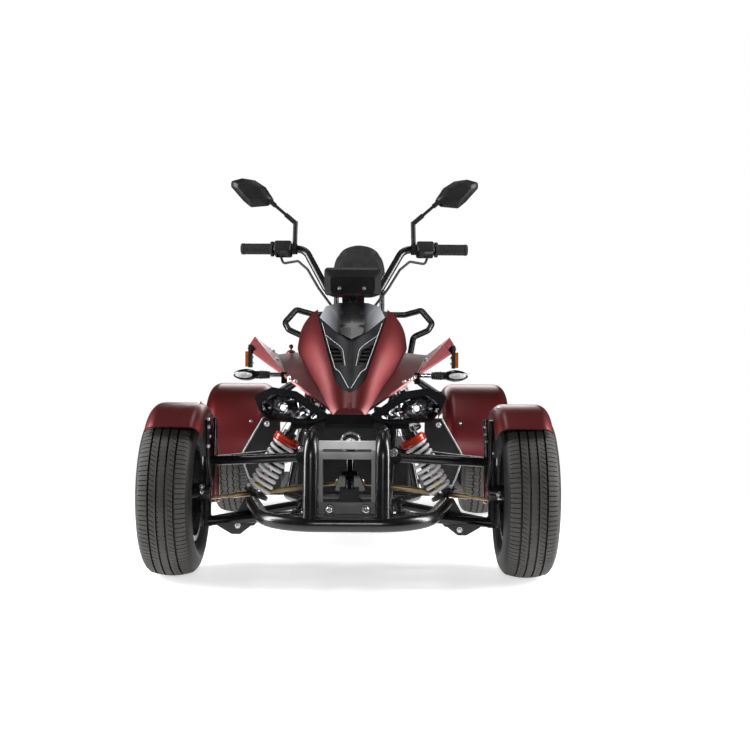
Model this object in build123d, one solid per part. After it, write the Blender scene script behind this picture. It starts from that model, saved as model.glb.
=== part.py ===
"""Electric quad bike: tube frame, double wishbone front axle, rigid drive axle, straddle seat, moulded body.

Millimetres, +Z up, nose towards -Y, +X on the rider's left. The origin is on the ground, at half length.
"""

import os
from math import cos, radians, sin

from build123d import *

# Driving dimensions
wheelbase = 1270
front_overhang = 372
tyre_radius = 232
tyre_width = 152
rim_radius = 127
rim_width = 118
front_track = 985
rear_track = 940

# Clearances
running_gap = 0.3
seat_gap = 0.3

# Places along the length
overall_length = front_overhang + wheelbase + tyre_radius
front_axle_y = -overall_length / 2 + front_overhang
rear_axle_y = front_axle_y + wheelbase
axle_z = tyre_radius

on_base = (Align.CENTER, Align.CENTER, Align.MIN)


def fa(offset):
    """A place along Y, counted backwards from the front axle."""
    return front_axle_y + offset


def ra(offset):
    """A place along Y, counted backwards from the rear axle."""
    return rear_axle_y + offset


# Steering column and kingpins
stem_rake = 32
stem_foot = Vector(0, fa(10), 300)
stem_axis = Vector(0, sin(radians(stem_rake)), cos(radians(stem_rake)))
stem_plane = Plane(origin=stem_foot, x_dir=(1, 0, 0), z_dir=stem_axis)
stem_radius = 12.5
stem_length = 588
pitman_reach = 70
pitman_half_spread = 30
pitman_at = -24
kingpin_inset = 89
kingpin_x = front_track / 2 - kingpin_inset
kingpin_caster = 6
kingpin_axis = Vector(0, sin(radians(kingpin_caster)), cos(radians(kingpin_caster)))
kingpin_centre = Vector(kingpin_x, fa(0), axle_z)
kingpin_plane = Plane(origin=kingpin_centre, x_dir=(1, 0, 0), z_dir=kingpin_axis)
ball_joint_top = 70
ball_joint_bottom = -62
ball_radius = 6
ball_cup_radius = 16
ball_cup_height = 32

nodes = {}


def keep(name, *solids):
    """Files solids under a node's name."""
    nodes.setdefault(name, []).extend(s for shape in solids for s in shape.solids())


def twin(shape):
    """The same shape on the other side of the centre plane."""
    return mirror(shape, about=Plane.YZ)


def bar(start, end, radius):
    """A straight round bar between two points."""
    run = Vector(*end) - Vector(*start)
    return Part() + Solid.make_cylinder(radius, run.length, Plane(origin=start, z_dir=run))


def tube(points, radius, bend):
    """A round bar along straight runs joined by arcs of one bend radius."""
    path = FilletPolyline(*points, radius=bend)
    return sweep(Plane(origin=path @ 0, z_dir=path % 0) * Circle(radius), path)


def plate(plane, points, thickness, corner=0):
    """A flat plate from an outline on a plane, with its corners rounded, grown along the plane's normal."""
    outline = make_face(Polyline(*points, close=True))
    if corner:
        outline = fillet(outline.vertices(), corner)
    return extrude(plane * outline, thickness)


def block(low, high, corner=0):
    """A box between two corners, its edges along Z rounded."""
    sizes = [h - l for l, h in zip(low, high)]
    box = Pos(*low) * Box(*sizes, align=(Align.MIN, Align.MIN, Align.MIN))
    return fillet(box.edges().filter_by(Axis.Z), corner) if corner else box


# Tyres: one turned ring with four grooves round the tread
tread_half = 52
shoulder_drop = 8
bulge_radius = 176
groove_width = 7
groove_depth = 6
groove_places = (-38, -13, 13, 38)
bead_half = 44
rim_lip = 9


def tyre(centre):
    half = tyre_width / 2
    shoulder_r = tyre_radius - shoulder_drop
    wall_r = tyre_radius - 3 * shoulder_drop
    wall_half = half - 8
    lip_r = rim_radius + rim_lip + 2
    ring = [
        Line((-bead_half, rim_radius), (bead_half, rim_radius)),
        Line((bead_half, rim_radius), (bead_half + 6, lip_r)),
        ThreePointArc((bead_half + 6, lip_r), (half, bulge_radius), (wall_half, wall_r)),
        ThreePointArc((wall_half, wall_r), (wall_half - 5, shoulder_r - 6), (tread_half, shoulder_r)),
        ThreePointArc((tread_half, shoulder_r), (0, tyre_radius), (-tread_half, shoulder_r)),
        ThreePointArc((-tread_half, shoulder_r), (5 - wall_half, shoulder_r - 6), (-wall_half, wall_r)),
        ThreePointArc((-wall_half, wall_r), (-half, bulge_radius), (-bead_half - 6, lip_r)),
        Line((-bead_half - 6, lip_r), (-bead_half, rim_radius)),
    ]
    face = make_face(ring)
    floor_r = tyre_radius - groove_depth - shoulder_drop / 2
    for place in groove_places:
        face -= Pos(place, floor_r) * Rectangle(groove_width, 40, align=(Align.CENTER, Align.MIN))
    return Pos(*centre) * revolve(face, axis=Axis.X)


# Rims: barrel, spoked face and hub in one casting
rim_wall = 5
face_offset = 14
face_thickness = 14
hub_radius = 36
hub_depth = 52
hub_proud = 6
spindle_radius = 14
spoke_count = 6
spoke_window_inner = 48
spoke_window_outer = rim_radius - rim_wall - 10
spoke_window_angle = 38
lug_count = 4
lug_circle_radius = 27
lug_radius = 5


def rim(centre, outward):
    """outward is +1 or -1, the side of the car that the spoked face is on."""
    half = rim_width / 2
    bed_r = rim_radius - running_gap
    barrel = make_face(
        Polyline(
            (-half, bed_r - rim_wall),
            (-half, bed_r + rim_lip),
            (-half + 4, bed_r + rim_lip),
            (-bead_half - running_gap, bed_r),
            (bead_half + running_gap, bed_r),
            (half - 4, bed_r + rim_lip),
            (half, bed_r + rim_lip),
            (half, bed_r - rim_wall),
            close=True,
        )
    )
    web = Pos(face_offset, 0) * Rectangle(face_thickness, bed_r - rim_wall / 2, align=(Align.MIN, Align.MIN))
    hub_end = face_offset + face_thickness + hub_proud
    hub = Pos(hub_end, 0) * Rectangle(hub_depth, hub_radius, align=(Align.MAX, Align.MIN))
    wheel = revolve(barrel + web + hub, axis=Axis.X)
    wheel -= Pos(-half, 0, 0) * Rot(0, 90, 0) * Cylinder(
        spindle_radius + running_gap, half + face_offset + 8, align=on_base
    )
    step = 360 / spoke_count
    window = Plane.YZ * make_face(
        [
            CenterArc((0, 0), spoke_window_outer, 0, spoke_window_angle),
            Line(PolarLine((0, 0), spoke_window_outer, spoke_window_angle) @ 1,
                 PolarLine((0, 0), spoke_window_inner, spoke_window_angle) @ 1),
            CenterArc((0, 0), spoke_window_inner, 0, spoke_window_angle),
            Line((spoke_window_inner, 0), (spoke_window_outer, 0)),
        ]
    )
    window_cut = extrude(window, half)
    for k in range(spoke_count):
        wheel -= Rot(k * step, 0, 0) * window_cut
    lug_step = 360 / lug_count
    for k in range(lug_count):
        lug = Pos(face_offset, 0, 0) * Rot(k * lug_step, 0, 0) * Pos(0, lug_circle_radius, 0)
        wheel += lug * Rot(0, 90, 0) * Cylinder(lug_radius, face_thickness + 14, align=on_base)
    if outward < 0:
        wheel = twin(wheel)
    return Pos(*centre) * wheel


# Brake discs, bolted to the inside of the front hubs
disc_radius = 84
disc_inner = spindle_radius + 4
disc_thickness = 5
disc_offset = face_offset + face_thickness + hub_proud - hub_depth - seat_gap - disc_thickness


def brake_disc(centre, outward):
    ring = [
        Line((disc_offset, disc_inner), (disc_offset + disc_thickness, disc_inner)),
        Line((disc_offset + disc_thickness, disc_inner), (disc_offset + disc_thickness, disc_radius)),
        Line((disc_offset + disc_thickness, disc_radius), (disc_offset, disc_radius)),
        Line((disc_offset, disc_radius), (disc_offset, disc_inner)),
    ]
    disc = revolve(make_face(ring), axis=Axis.X)
    return Pos(*centre) * (disc if outward > 0 else twin(disc))


wheel_table = (
    # name, centre plane x, axle y, outward side
    ("front_left", front_track / 2, front_axle_y, 1),
    ("front_right", -front_track / 2, front_axle_y, -1),
    ("rear_left", rear_track / 2, rear_axle_y, 1),
    ("rear_right", -rear_track / 2, rear_axle_y, -1),
)
for wheel_name, wheel_x, wheel_y, outward_side in wheel_table:
    wheel_centre = (wheel_x, wheel_y, axle_z)
    keep(f"tyre_{wheel_name}", tyre(wheel_centre))
    keep(f"rim_{wheel_name}", rim(wheel_centre, outward_side))
    if wheel_name.startswith("front"):
        keep(f"brake_disc_{wheel_name[6:]}", brake_disc(wheel_centre, outward_side))

# Frame: round tubes, welded
rail_radius = 14
rail_bend = 70
rail_z = 175
rail_front_x = 110
rail_wide_x = 205
rail_rear_x = 150
upper_front = (92, fa(-20), 420)
upper_knee = (125, fa(140), 492)
upper_seat = (130, fa(420), 548)
upper_tail = (120, ra(170), 600)
upper_hip = (130, ra(-100), 585)
brace_radius = 11

frame_side = tube(
    [
        (rail_front_x, fa(-160), rail_z),
        (rail_front_x, fa(180), rail_z),
        (rail_wide_x, fa(400), rail_z),
        (rail_wide_x, ra(-400), rail_z),
        (rail_rear_x, ra(-230), rail_z + 30),
    ],
    rail_radius,
    rail_bend,
)
frame_side += tube([upper_front, upper_knee, upper_seat, upper_hip, upper_tail], rail_radius, rail_bend)
upright_table = (
    # foot, head
    ((rail_front_x, fa(-110), rail_z), upper_front),
    ((rail_front_x, fa(140), rail_z), upper_knee),
    ((rail_wide_x, fa(420), rail_z), upper_seat),
    ((rail_rear_x, ra(-232), rail_z + 30), upper_hip),
)
for foot, head in upright_table:
    frame_side += bar(foot, head, brace_radius)
frame = frame_side + twin(frame_side)
cross_table = (
    # x, y, z of the tube's end on the left side
    (rail_front_x, fa(-150), rail_z),
    (rail_front_x, fa(120), rail_z),
    (rail_wide_x, fa(400), rail_z),
    (rail_rear_x, ra(-234), rail_z + 30),
    upper_front,
    upper_seat,
    upper_hip,
    upper_tail,
)
for x, y, z in cross_table:
    frame += bar((-x, y, z), (x, y, z), brace_radius)
# Steering head, a bearing tube on two struts from the upper rails
head_low = 330
head_high = 400
head_radius = 21
head = stem_plane * Pos(0, 0, head_low) * Cylinder(head_radius, head_high - head_low, align=on_base)
head_middle = stem_foot + stem_axis * ((head_low + head_high) / 2)
for side in (-1, 1):
    knee = (side * upper_knee[0], upper_knee[1], upper_knee[2])
    head += bar(knee, (side * 8, head_middle.Y, head_middle.Z), brace_radius - 2)
head -= stem_plane * Cylinder(stem_radius + running_gap, stem_length, align=on_base)
frame += head

# Bumper: a bowed lower tube and two bent uprights
bumper_radius = 19
bumper_y = -overall_length / 2 + bumper_radius
bumper_z = 197
bumper_end = (268, fa(-52), 212)
bumper_corner_x = 200
bumper_bend = 150
upright_x = 92
upright_bend = 60
upright_top_z = 412
upright_end_y = upper_front[1] - 24
bow = tube(
    [
        bumper_end,
        (bumper_corner_x, bumper_y, bumper_z),
        (-bumper_corner_x, bumper_y, bumper_z),
        (-bumper_end[0], bumper_end[1], bumper_end[2]),
    ],
    bumper_radius,
    bumper_bend,
)
upright = tube(
    [
        (upright_x, bumper_y + 4, bumper_z),
        (upright_x, bumper_y + 34, upright_top_z),
        (upright_x, upright_end_y, upright_top_z),
    ],
    bumper_radius,
    upright_bend,
)
stay_foot = (rail_front_x + 2, fa(-152) - brace_radius - 6, rail_z + 4)
stay = bar(stay_foot, (rail_front_x + 30, bumper_y + 20, bumper_z), 9)
keep("front_bumper", bow + upright + twin(upright) + stay + twin(stay))

# Bulkhead: flat bars between the bumper uprights, and the pedestal that carries the foot of the column
bulkhead_y = fa(-300)
bulkhead_half = upright_x - bumper_radius - seat_gap
bar_depth = 30
bulkhead = Part()
bulkhead_table = (
    # half width, low z, high z, depth along y
    (bulkhead_half, 383, 403, 26),
    (bulkhead_half, 357, 376, 44),
    (bulkhead_half, 218, 246, 8),
)
for half, low, high, depth in bulkhead_table:
    bulkhead += block((-half, bulkhead_y, low), (half, bulkhead_y + depth, high))
for side in (-1, 1):
    inner, outer = sorted((side * (bulkhead_half - 10), side * bulkhead_half))
    bulkhead += block((inner, bulkhead_y, 218), (outer, bulkhead_y + bar_depth, 403))
keep("front_bulkhead", bulkhead)

pedestal_half = 27
pedestal_base_half = 70
pedestal_neck_z = 222
pedestal_top_z = 250
pedestal = plate(
    Plane.XZ.offset(-fa(5)),
    [
        (-pedestal_base_half, rail_z),
        (pedestal_base_half, rail_z),
        (pedestal_half, pedestal_neck_z),
        (pedestal_half, pedestal_top_z),
        (-pedestal_half, pedestal_top_z),
        (-pedestal_half, pedestal_neck_z),
    ],
    60,
)
pedestal += bar((-rail_front_x, fa(-15), rail_z), (rail_front_x, fa(-15), rail_z), brace_radius)
pedestal_foot = -85
pedestal -= stem_plane * Pos(0, 0, pedestal_foot) * Cylinder(
    stem_radius + running_gap, 200, align=on_base
)

# Wishbones: two legs to a ball cup, turning on a pivot shaft
arm_radius = 13
arm_lift = 19
pivot_radius = 8
bush_radius = 16
bush_length = 36
upper_pivot_x = 128
upper_pivot_z = 343
upper_spread = 95
lower_pivot_x = 144
lower_pivot_z = 186
lower_spread = 118
shock_foot_x = 278
shock_foot_z = 205
shock_head_x = 152
shock_head_z = 430
shock_y = fa(-4)


def wishbone(pivot_x, pivot_z, spread, cup_low, cup_high, leg_at):
    """Cup heights and the height that the legs meet the cup are counted along the kingpin from the axle."""
    meet = kingpin_centre + kingpin_axis * leg_at
    arm = kingpin_plane * Pos(0, 0, cup_low) * Cylinder(
        ball_cup_radius, cup_high - cup_low, align=on_base
    )
    for lean in (-1, 1):
        y = fa(lean * spread)
        arm += bar((pivot_x, y, pivot_z), tuple(meet), arm_radius)
        near, far = [(pivot_x, y + share * bush_length, pivot_z) for share in (-0.5, 0.5)]
        arm += bar(near, far, bush_radius)
    arm -= bar((pivot_x, fa(-300), pivot_z), (pivot_x, fa(300), pivot_z), pivot_radius + running_gap)
    return arm


stud_hole = kingpin_plane * Cylinder(ball_radius + running_gap, 2 * (ball_joint_top + 20))
upper_arm = wishbone(
    upper_pivot_x,
    upper_pivot_z,
    upper_spread,
    ball_joint_top,
    ball_joint_top + ball_cup_height,
    ball_joint_top + arm_lift,
)
upper_arm -= stud_hole
keep("upper_arms", upper_arm, twin(upper_arm))

lower_arm = wishbone(
    lower_pivot_x,
    lower_pivot_z,
    lower_spread,
    ball_joint_bottom - ball_cup_height,
    ball_joint_bottom,
    ball_joint_bottom - arm_lift,
)
lower_arm -= stud_hole
lower_arm += bar((shock_foot_x, shock_y - 48, 165), (shock_foot_x, shock_y + 48, 165), 12)
gusset_half = 61
gusset_x = shock_foot_x + 36
lower_arm += plate(
    Plane.XZ.offset(-(shock_y - 44)),
    [
        (gusset_x - gusset_half, 162),
        (gusset_x + gusset_half, 152),
        (gusset_x + 12, 123),
        (gusset_x - 12, 123),
    ],
    5,
    4,
)
clevis_gap = 13
clevis_thickness = 5
shock_bolt_radius = 6
for lean in (-1, 1):
    y = shock_y + lean * clevis_gap + (0 if lean < 0 else clevis_thickness)
    lower_arm += plate(
        Plane.XZ.offset(-y),
        [
            (shock_foot_x - 45, 178),
            (shock_foot_x - 16, shock_foot_z + 14),
            (shock_foot_x + 16, shock_foot_z + 14),
            (shock_foot_x + 45, 166),
            (shock_foot_x + 10, 142),
            (shock_foot_x - 10, 142),
        ],
        clevis_thickness,
        5,
    )
lower_arm += bar(
    (shock_foot_x, shock_y - clevis_gap - 10, shock_foot_z),
    (shock_foot_x, shock_y + clevis_gap + 10, shock_foot_z),
    shock_bolt_radius,
)
keep("lower_arms", lower_arm, twin(lower_arm))

# Coil-over dampers, front and rear
eye_radius = 14
damper_rod_radius = 7
damper_body_radius = 19
damper_neck_radius = 11
damper_neck_length = 30
perch_radius = 36
spring_radius = 30
spring_wire = 4.7
spring_turns = 9

damper_table = (
    # name, foot, head
    ("front", (shock_foot_x, shock_y, shock_foot_z), (shock_head_x, shock_y, shock_head_z)),
    ("rear", (222, ra(18), 300), (140, ra(-50), 552)),
)
damper_bottom_seat = 34
damper_seat_thickness = 8
damper_top_seat = 62


def damper(foot, head):
    """Eyes on the bolts, rod below, body above, and the two spring seats."""
    run = Vector(*head) - Vector(*foot)
    length = run.length
    along = Plane(origin=foot, z_dir=run)

    def drum(low, high, radius):
        return along * Pos(0, 0, low) * Cylinder(radius, high - low, align=on_base)

    across = (clevis_gap - seat_gap) * 2
    shape = drum(0, length * 0.5, damper_rod_radius)
    shape += drum(length * 0.45, length, damper_neck_radius)
    shape += drum(length * 0.45, length - damper_neck_length, damper_body_radius)
    shape += drum(damper_bottom_seat - damper_seat_thickness, damper_bottom_seat, perch_radius)
    shape += drum(length - damper_top_seat, length - damper_top_seat + 14, perch_radius)
    shape += drum(0, damper_bottom_seat, damper_neck_radius)
    for end in (foot, head):
        eye = Pos(*end) * Rot(90, 0, 0) * Cylinder(eye_radius, across)
        shape += eye
    for end in (foot, head):
        shape -= Pos(*end) * Rot(90, 0, 0) * Cylinder(shock_bolt_radius + running_gap, across + 40)
    return shape


def spring(foot, head):
    run = Vector(*head) - Vector(*foot)
    low = damper_bottom_seat + spring_wire + seat_gap
    high = run.length - damper_top_seat - spring_wire - seat_gap
    path = Helix((high - low) / spring_turns, high - low, spring_radius)
    wire = sweep(Plane(origin=path @ 0, z_dir=path % 0) * Circle(spring_wire), path, is_frenet=True)
    return Plane(origin=foot, z_dir=run) * Pos(0, 0, low) * wire


for place, foot, head in damper_table:
    one_damper = damper(foot, head)
    one_spring = spring(foot, head)
    keep("dampers", one_damper, twin(one_damper))
    keep("springs", one_spring, twin(one_spring))

# Knuckles: upright with ball studs, wheel spindle, steering arm, brake caliper and fender stays
upright_half = 14
knuckle_arm_out = 10
knuckle_arm_low = -36
knuckle_arm_high = -26
fender_gap = 18
fender_outer = front_track / 2 + 63
fender_inner = front_track / 2 - 96
fender_skirt = 45
fender_lip = 20
fender_corner = 35
fender_wall = 4
fender_start = -14
fender_sweep = 143
fender_radius = tyre_radius + fender_gap + fender_wall
stay_radius = 6
stay_x = fender_inner - stay_radius - seat_gap
spindle_reach = front_track / 2 + 20
caliper_inner = 56
caliper_outer = 104
caliper_half = 28

knuckle = kingpin_plane * Pos(0, 0, ball_joint_bottom + running_gap) * Cylinder(
    upright_half, ball_joint_top - ball_joint_bottom - 2 * running_gap, align=on_base
)
knuckle += kingpin_plane * Cylinder(ball_radius, 2 * ball_joint_top + 24)
knuckle += bar((kingpin_x - 12, fa(0), axle_z), (front_track / 2 + disc_offset - 4, fa(0), axle_z), 26)
knuckle += bar((kingpin_x, fa(0), axle_z), (spindle_reach, fa(0), axle_z), spindle_radius)
knuckle += kingpin_plane * plate(
    Plane.XY.offset(knuckle_arm_low),
    [
        (-upright_half, 0),
        (upright_half, 0),
        (knuckle_arm_out + 13, pitman_reach + 13),
        (knuckle_arm_out - 13, pitman_reach + 13),
    ],
    knuckle_arm_high - knuckle_arm_low,
)
disc_low = front_track / 2 + disc_offset
caliper = block(
    (disc_low - 16, fa(-caliper_outer), axle_z - caliper_half),
    (disc_low + disc_thickness + 14, fa(-caliper_inner), axle_z + caliper_half),
    6,
)
caliper -= block((disc_low - 2, fa(-disc_radius - 4), 0), (disc_low + disc_thickness + 2, fa(0), 500))
knuckle += caliper
knuckle += bar((kingpin_x + 4, fa(-6), axle_z), (disc_low - 10, fa(-80), axle_z), 9)
stay_table = (
    # foot y and z, elbow y and z, head y and z, from the axle
    ((-6, 22), (-66, 92), (-76, 213)),
    ((8, 26), (68, 92), (92, 205)),
)
for foot, elbow, top in stay_table:
    points = [(stay_x, fa(y), axle_z + z) for y, z in (foot, elbow, top)]
    knuckle += tube(points, stay_radius, 30)
keep("knuckle_left", knuckle)
keep("knuckle_right", twin(knuckle))


def fender(inner_x, outer_x, radius, inner_skirt, outer_skirt, corner, start, sweep_angle, axle_y):
    """A hooped mudguard: a trough section turned about the axle, its angles counted from the rear."""
    width = outer_x - inner_x
    section = Pos(inner_x, radius) * Rectangle(width, inner_skirt, align=(Align.MIN, Align.MAX))
    section = fillet(section.vertices().group_by(Axis.Y)[-1], corner)
    hollow = Pos(inner_x + fender_wall, radius - fender_wall) * Rectangle(
        width - 2 * fender_wall, inner_skirt, align=(Align.MIN, Align.MAX)
    )
    hollow = fillet(hollow.vertices().group_by(Axis.Y)[-1], corner - fender_wall)
    trim = Rectangle(width / 2, inner_skirt, align=(Align.MAX, Align.MAX))
    trim = Pos(outer_x, radius - outer_skirt) * trim
    hoop = revolve(section - hollow - trim, axis=Axis.X, revolution_arc=sweep_angle)
    return Pos(0, axle_y, axle_z) * Rot(start, 0, 0) * hoop


front_fender = fender(
    fender_inner,
    fender_outer,
    fender_radius,
    fender_skirt,
    fender_lip,
    fender_corner,
    fender_start,
    fender_sweep,
    front_axle_y,
)
keep("front_fender_left", front_fender)
keep("front_fender_right", twin(front_fender))

# Rear mudguards, wider and fixed to the body
rear_fender_inner = 322
rear_fender_outer = rear_track / 2 + tyre_width / 2 + 26
rear_fender_radius = tyre_radius + 37
rear_fender_skirt = 55
rear_fender_corner = 48
rear_fender_start = 34
rear_fender_sweep = 150
rear_fender = fender(
    rear_fender_inner,
    rear_fender_outer,
    rear_fender_radius,
    rear_fender_skirt,
    rear_fender_skirt,
    rear_fender_corner,
    rear_fender_start,
    rear_fender_sweep,
    rear_axle_y,
)
keep("rear_fenders", rear_fender, twin(rear_fender))

# Tie rods: an eye on the pitman pin, a rod, and an eye over the knuckle's arm
tie_eye_radius = 13
tie_eye_height = 14
tie_rod_radius = 8
tie_thread_radius = 5
tie_swing_gap = 0.8
pitman_half = 6
pin_radius = 6
tie_inner_z = pitman_at + pitman_half + running_gap + tie_eye_height / 2
tie_inner = stem_plane * Pos(pitman_half_spread, pitman_reach, tie_inner_z)
tie_outer_z = knuckle_arm_high + tie_swing_gap + tie_eye_height / 2
tie_outer = kingpin_plane * Pos(knuckle_arm_out, pitman_reach, tie_outer_z)
tie_run = tie_outer.position - tie_inner.position
rod = tie_inner * Cylinder(tie_eye_radius, tie_eye_height)
rod += tie_outer * Cylinder(tie_eye_radius, tie_eye_height)
rod += bar(tuple(tie_inner.position), tuple(tie_outer.position), tie_thread_radius)
tie_sleeve = [tuple(tie_inner.position + tie_run * share) for share in (0.14, 0.8)]
rod += bar(*tie_sleeve, tie_rod_radius)
rod -= tie_inner * Cylinder(pin_radius + running_gap, 3 * tie_eye_height)
keep("tie_rod_left", rod)
keep("tie_rod_right", twin(rod))

# Steering column with its pitman plate and handlebar clamp
clamp_half = 34
clamp_depth = 44
bar_radius = 12
bar_height = 600
stem_low = pedestal_foot + 2
stem = Pos(0, 0, stem_low) * Cylinder(stem_radius, bar_height - stem_low, align=on_base)
stem += plate(
    Plane.XY.offset(pitman_at - pitman_half),
    [
        (-26, -22),
        (26, -22),
        (pitman_half_spread + 15, pitman_reach + 14),
        (-pitman_half_spread - 15, pitman_reach + 14),
    ],
    2 * pitman_half,
    10,
)
for side in (-1, 1):
    stem += Pos(side * pitman_half_spread, pitman_reach, pitman_at + pitman_half) * Cylinder(
        pin_radius, tie_eye_height + 6, align=on_base
    )
stem += Pos(0, 0, bar_height) * Box(2 * clamp_half, clamp_depth, 52)
stem -= Pos(0, 0, bar_height) * Rot(0, 90, 0) * Cylinder(bar_radius + seat_gap, 4 * clamp_half)
keep("steering_stem", stem_plane * stem)

# Handlebar, in the column's own frame
bar_flat_half = 75
bar_corner = (155, 0, 770)
bar_end = (355, 25, 788)
bar_bend = 45
bar_points = [bar_end, bar_corner, (bar_flat_half, 0, bar_height)]
bar_points += [(-x, y, z) for x, y, z in reversed(bar_points)]
keep("handlebar", stem_plane * tube(bar_points, bar_radius, bar_bend))

grip_radius = 17
grip_length = 100
grip_end = 4
housing_from = -160
housing_to = -104
housing_half = 23
bar_run = Vector(*bar_end) - Vector(*bar_corner)
bar_tip = stem_plane * Plane(origin=bar_end, x_dir=(0, -1, 0), z_dir=bar_run)
bar_clear = Pos(0, 0, -grip_length * 3) * Cylinder(
    bar_radius + seat_gap, grip_length * 3 + seat_gap, align=on_base
)
grip = Pos(0, 0, -grip_length) * Cylinder(grip_radius, grip_length + grip_end, align=on_base)
grip += Pos(0, 0, -grip_length) * Cylinder(grip_radius + 7, 7, align=on_base)
grip = bar_tip * (grip - bar_clear)
keep("grips", grip, twin(grip))

housing_box = Box(2 * housing_half, 2 * housing_half - 6, housing_to - housing_from)
housing = Pos(0, 0, (housing_from + housing_to) / 2) * housing_box
housing = fillet(housing.edges(), 7)
housing = bar_tip * (housing - bar_clear)
keep("switch_housings", housing, twin(housing))

# Mirrors: clamp on the bar, stem, arm and leaf-shaped head
mirror_clamp_at = -169
mirror_clamp_radius = 17
mirror_clamp_length = 14
mirror_stem_radius = 5
mirror_pillar_radius = 7.5
clamp_ring = bar_tip * (
    Pos(0, 0, mirror_clamp_at) * Cylinder(mirror_clamp_radius, mirror_clamp_length) - bar_clear
)
mirror_foot = bar_tip * Pos(0, 0, mirror_clamp_at)
foot_point = mirror_foot.position + Vector(0, 0, mirror_clamp_radius - 3)
mirror_elbow = foot_point + Vector(-2, 0, 68)
mirror_head = Vector(322, foot_point.Y + 10, 1130)
mirror_neck = mirror_head + Vector(-62, -22, -32)
mirror_reach = mirror_neck - mirror_elbow
mirror_arm = bar(tuple(foot_point), tuple(mirror_elbow + Vector(0, 0, 6)), mirror_pillar_radius)
mirror_arm += bar(tuple(mirror_elbow), tuple(mirror_elbow + mirror_reach * 0.42), mirror_pillar_radius)
mirror_arm += bar(tuple(mirror_elbow), tuple(mirror_neck + mirror_reach * 0.1), mirror_stem_radius)
mirror_collar = [tuple(mirror_neck + mirror_reach * share) for share in (-0.16, 0.1)]
mirror_arm += bar(*mirror_collar, mirror_pillar_radius)
glass_face = Plane(origin=tuple(mirror_head), x_dir=(1, 0.12, 0), z_dir=(-0.12, 1, -0.05))
glass_top = ((70, -38), (33, -47), (-8, -40), (-42, -18))
glass_outline = glass_top + ((-70, 24), (-50, 41), (6, 45), (31, 24), (70, -20))
glass_corner = 9
glass_depth = 4
shell_back = 0.55


def leaf(scale_by):
    outline = [(x * scale_by, y * scale_by) for x, y in glass_outline]
    return fillet(make_face(Polyline(*outline, close=True)).vertices(), glass_corner * scale_by)


head_shell = loft([leaf(1), Pos(0, 0, -16) * leaf(0.96), Pos(0, 0, -40) * leaf(shell_back)])
head_shell -= Pos(0, 0, -glass_depth) * extrude(leaf(0.92), glass_depth + 5)
head_shell = glass_face * head_shell
mirror_one = clamp_ring + mirror_arm + head_shell
keep("mirrors", mirror_one, twin(mirror_one))
glass = glass_face * Pos(0, 0, -glass_depth + seat_gap) * extrude(leaf(0.915), glass_depth - 2)
keep("mirror_glasses", glass, twin(glass))

# Display on a bracket in front of the bar clamp
display_plane = Plane(origin=(0, fa(268), 846), x_dir=(1, 0, 0), z_dir=(0, -0.86, -0.5))
display_body = loft(
    [
        fillet(Rectangle(172, 88).vertices(), 12),
        Pos(0, 0, 14) * fillet(Rectangle(172, 88).vertices(), 12),
        Pos(0, 0, 30) * fillet(Rectangle(134, 56).vertices(), 10),
    ],
    ruled=True,
)
display_bracket = Part()
for side in (-1, 1):
    face_y = -clamp_depth / 2 - seat_gap
    foot, end = [(side * 24, y, bar_height) for y in (face_y, face_y - 18)]
    display_bracket += stem_plane * bar(foot, end, 6)
    knee = stem_plane * Pos(side * 24, face_y - 14, bar_height)
    display_bracket += bar(tuple(knee.position), (side * 24, fa(258), 842), 6)
keep("display", display_plane * display_body + display_bracket)

# Nose cowl: an arched form with a creased crest, lofted through a few sections
cowl_wall = 5
cowl_lip = 4
cowl_sections = (
    # y from the front axle, crest z, shoulder x, shoulder z, edge x, edge z
    (-115, 477, 30, 474, 44, 458),
    (-40, 538, 52, 527, 74, 502),
    (50, 611, 80, 594, 106, 550),
    (160, 700, 108, 678, 150, 617),
    (262, 772, 114, 752, 163, 645),
)


def nose_form(inset, lip):
    """The cowl's outside moved inwards by inset, its flat floor lip below the edge."""
    rings = []
    for k, (y, crest, shoulder_x, shoulder_z, edge_x, edge_z) in enumerate(cowl_sections):
        place = fa(y) + (inset if k == 0 else 0)
        shoulder = (shoulder_x - 0.7 * inset, shoulder_z - 0.7 * inset)
        edge = (edge_x - inset, edge_z)
        top = (0, crest - inset)
        ring = [
            ThreePointArc(edge, shoulder, top),
            ThreePointArc(top, (-shoulder[0], shoulder[1]), (-edge[0], edge[1])),
            Polyline((-edge[0], edge[1]), (-edge[0], edge[1] - lip), (edge[0], edge[1] - lip), edge),
        ]
        rings.append(Plane.XZ.offset(-place) * make_face([e for c in ring for e in c.edges()]))
    return loft(rings)


def front_prism(points):
    """An outline in the front view, pushed through the whole nose."""
    return extrude(Plane.XZ.offset(-fa(400)) * make_face(Polyline(*points, close=True)), 700)


def both_sides(points):
    """A half outline and its reflection, as one closed outline."""
    return list(points) + [(-x, z) for x, z in reversed(points) if x]


recess = front_prism(both_sides([(0, 518), (22, 527), (43, 553), (105, 740), (105, 820)]))
insert_view = both_sides([(0, 523), (32, 572), (47, 580), (97, 728), (48, 686), (0, 664)])
flange_view = both_sides([(0, 512), (30, 524), (52, 552), (112, 740), (0, 690)])
hood_view = both_sides([(0, 668), (48, 690), (98, 733), (66, 800)])
grille_view = ((70, 654), (31, 636), (20, 594), (53, 600))

cowl = nose_form(0, cowl_lip) - nose_form(cowl_wall, cowl_lip + 60) - recess
keep("nose_cowl", cowl)

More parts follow.
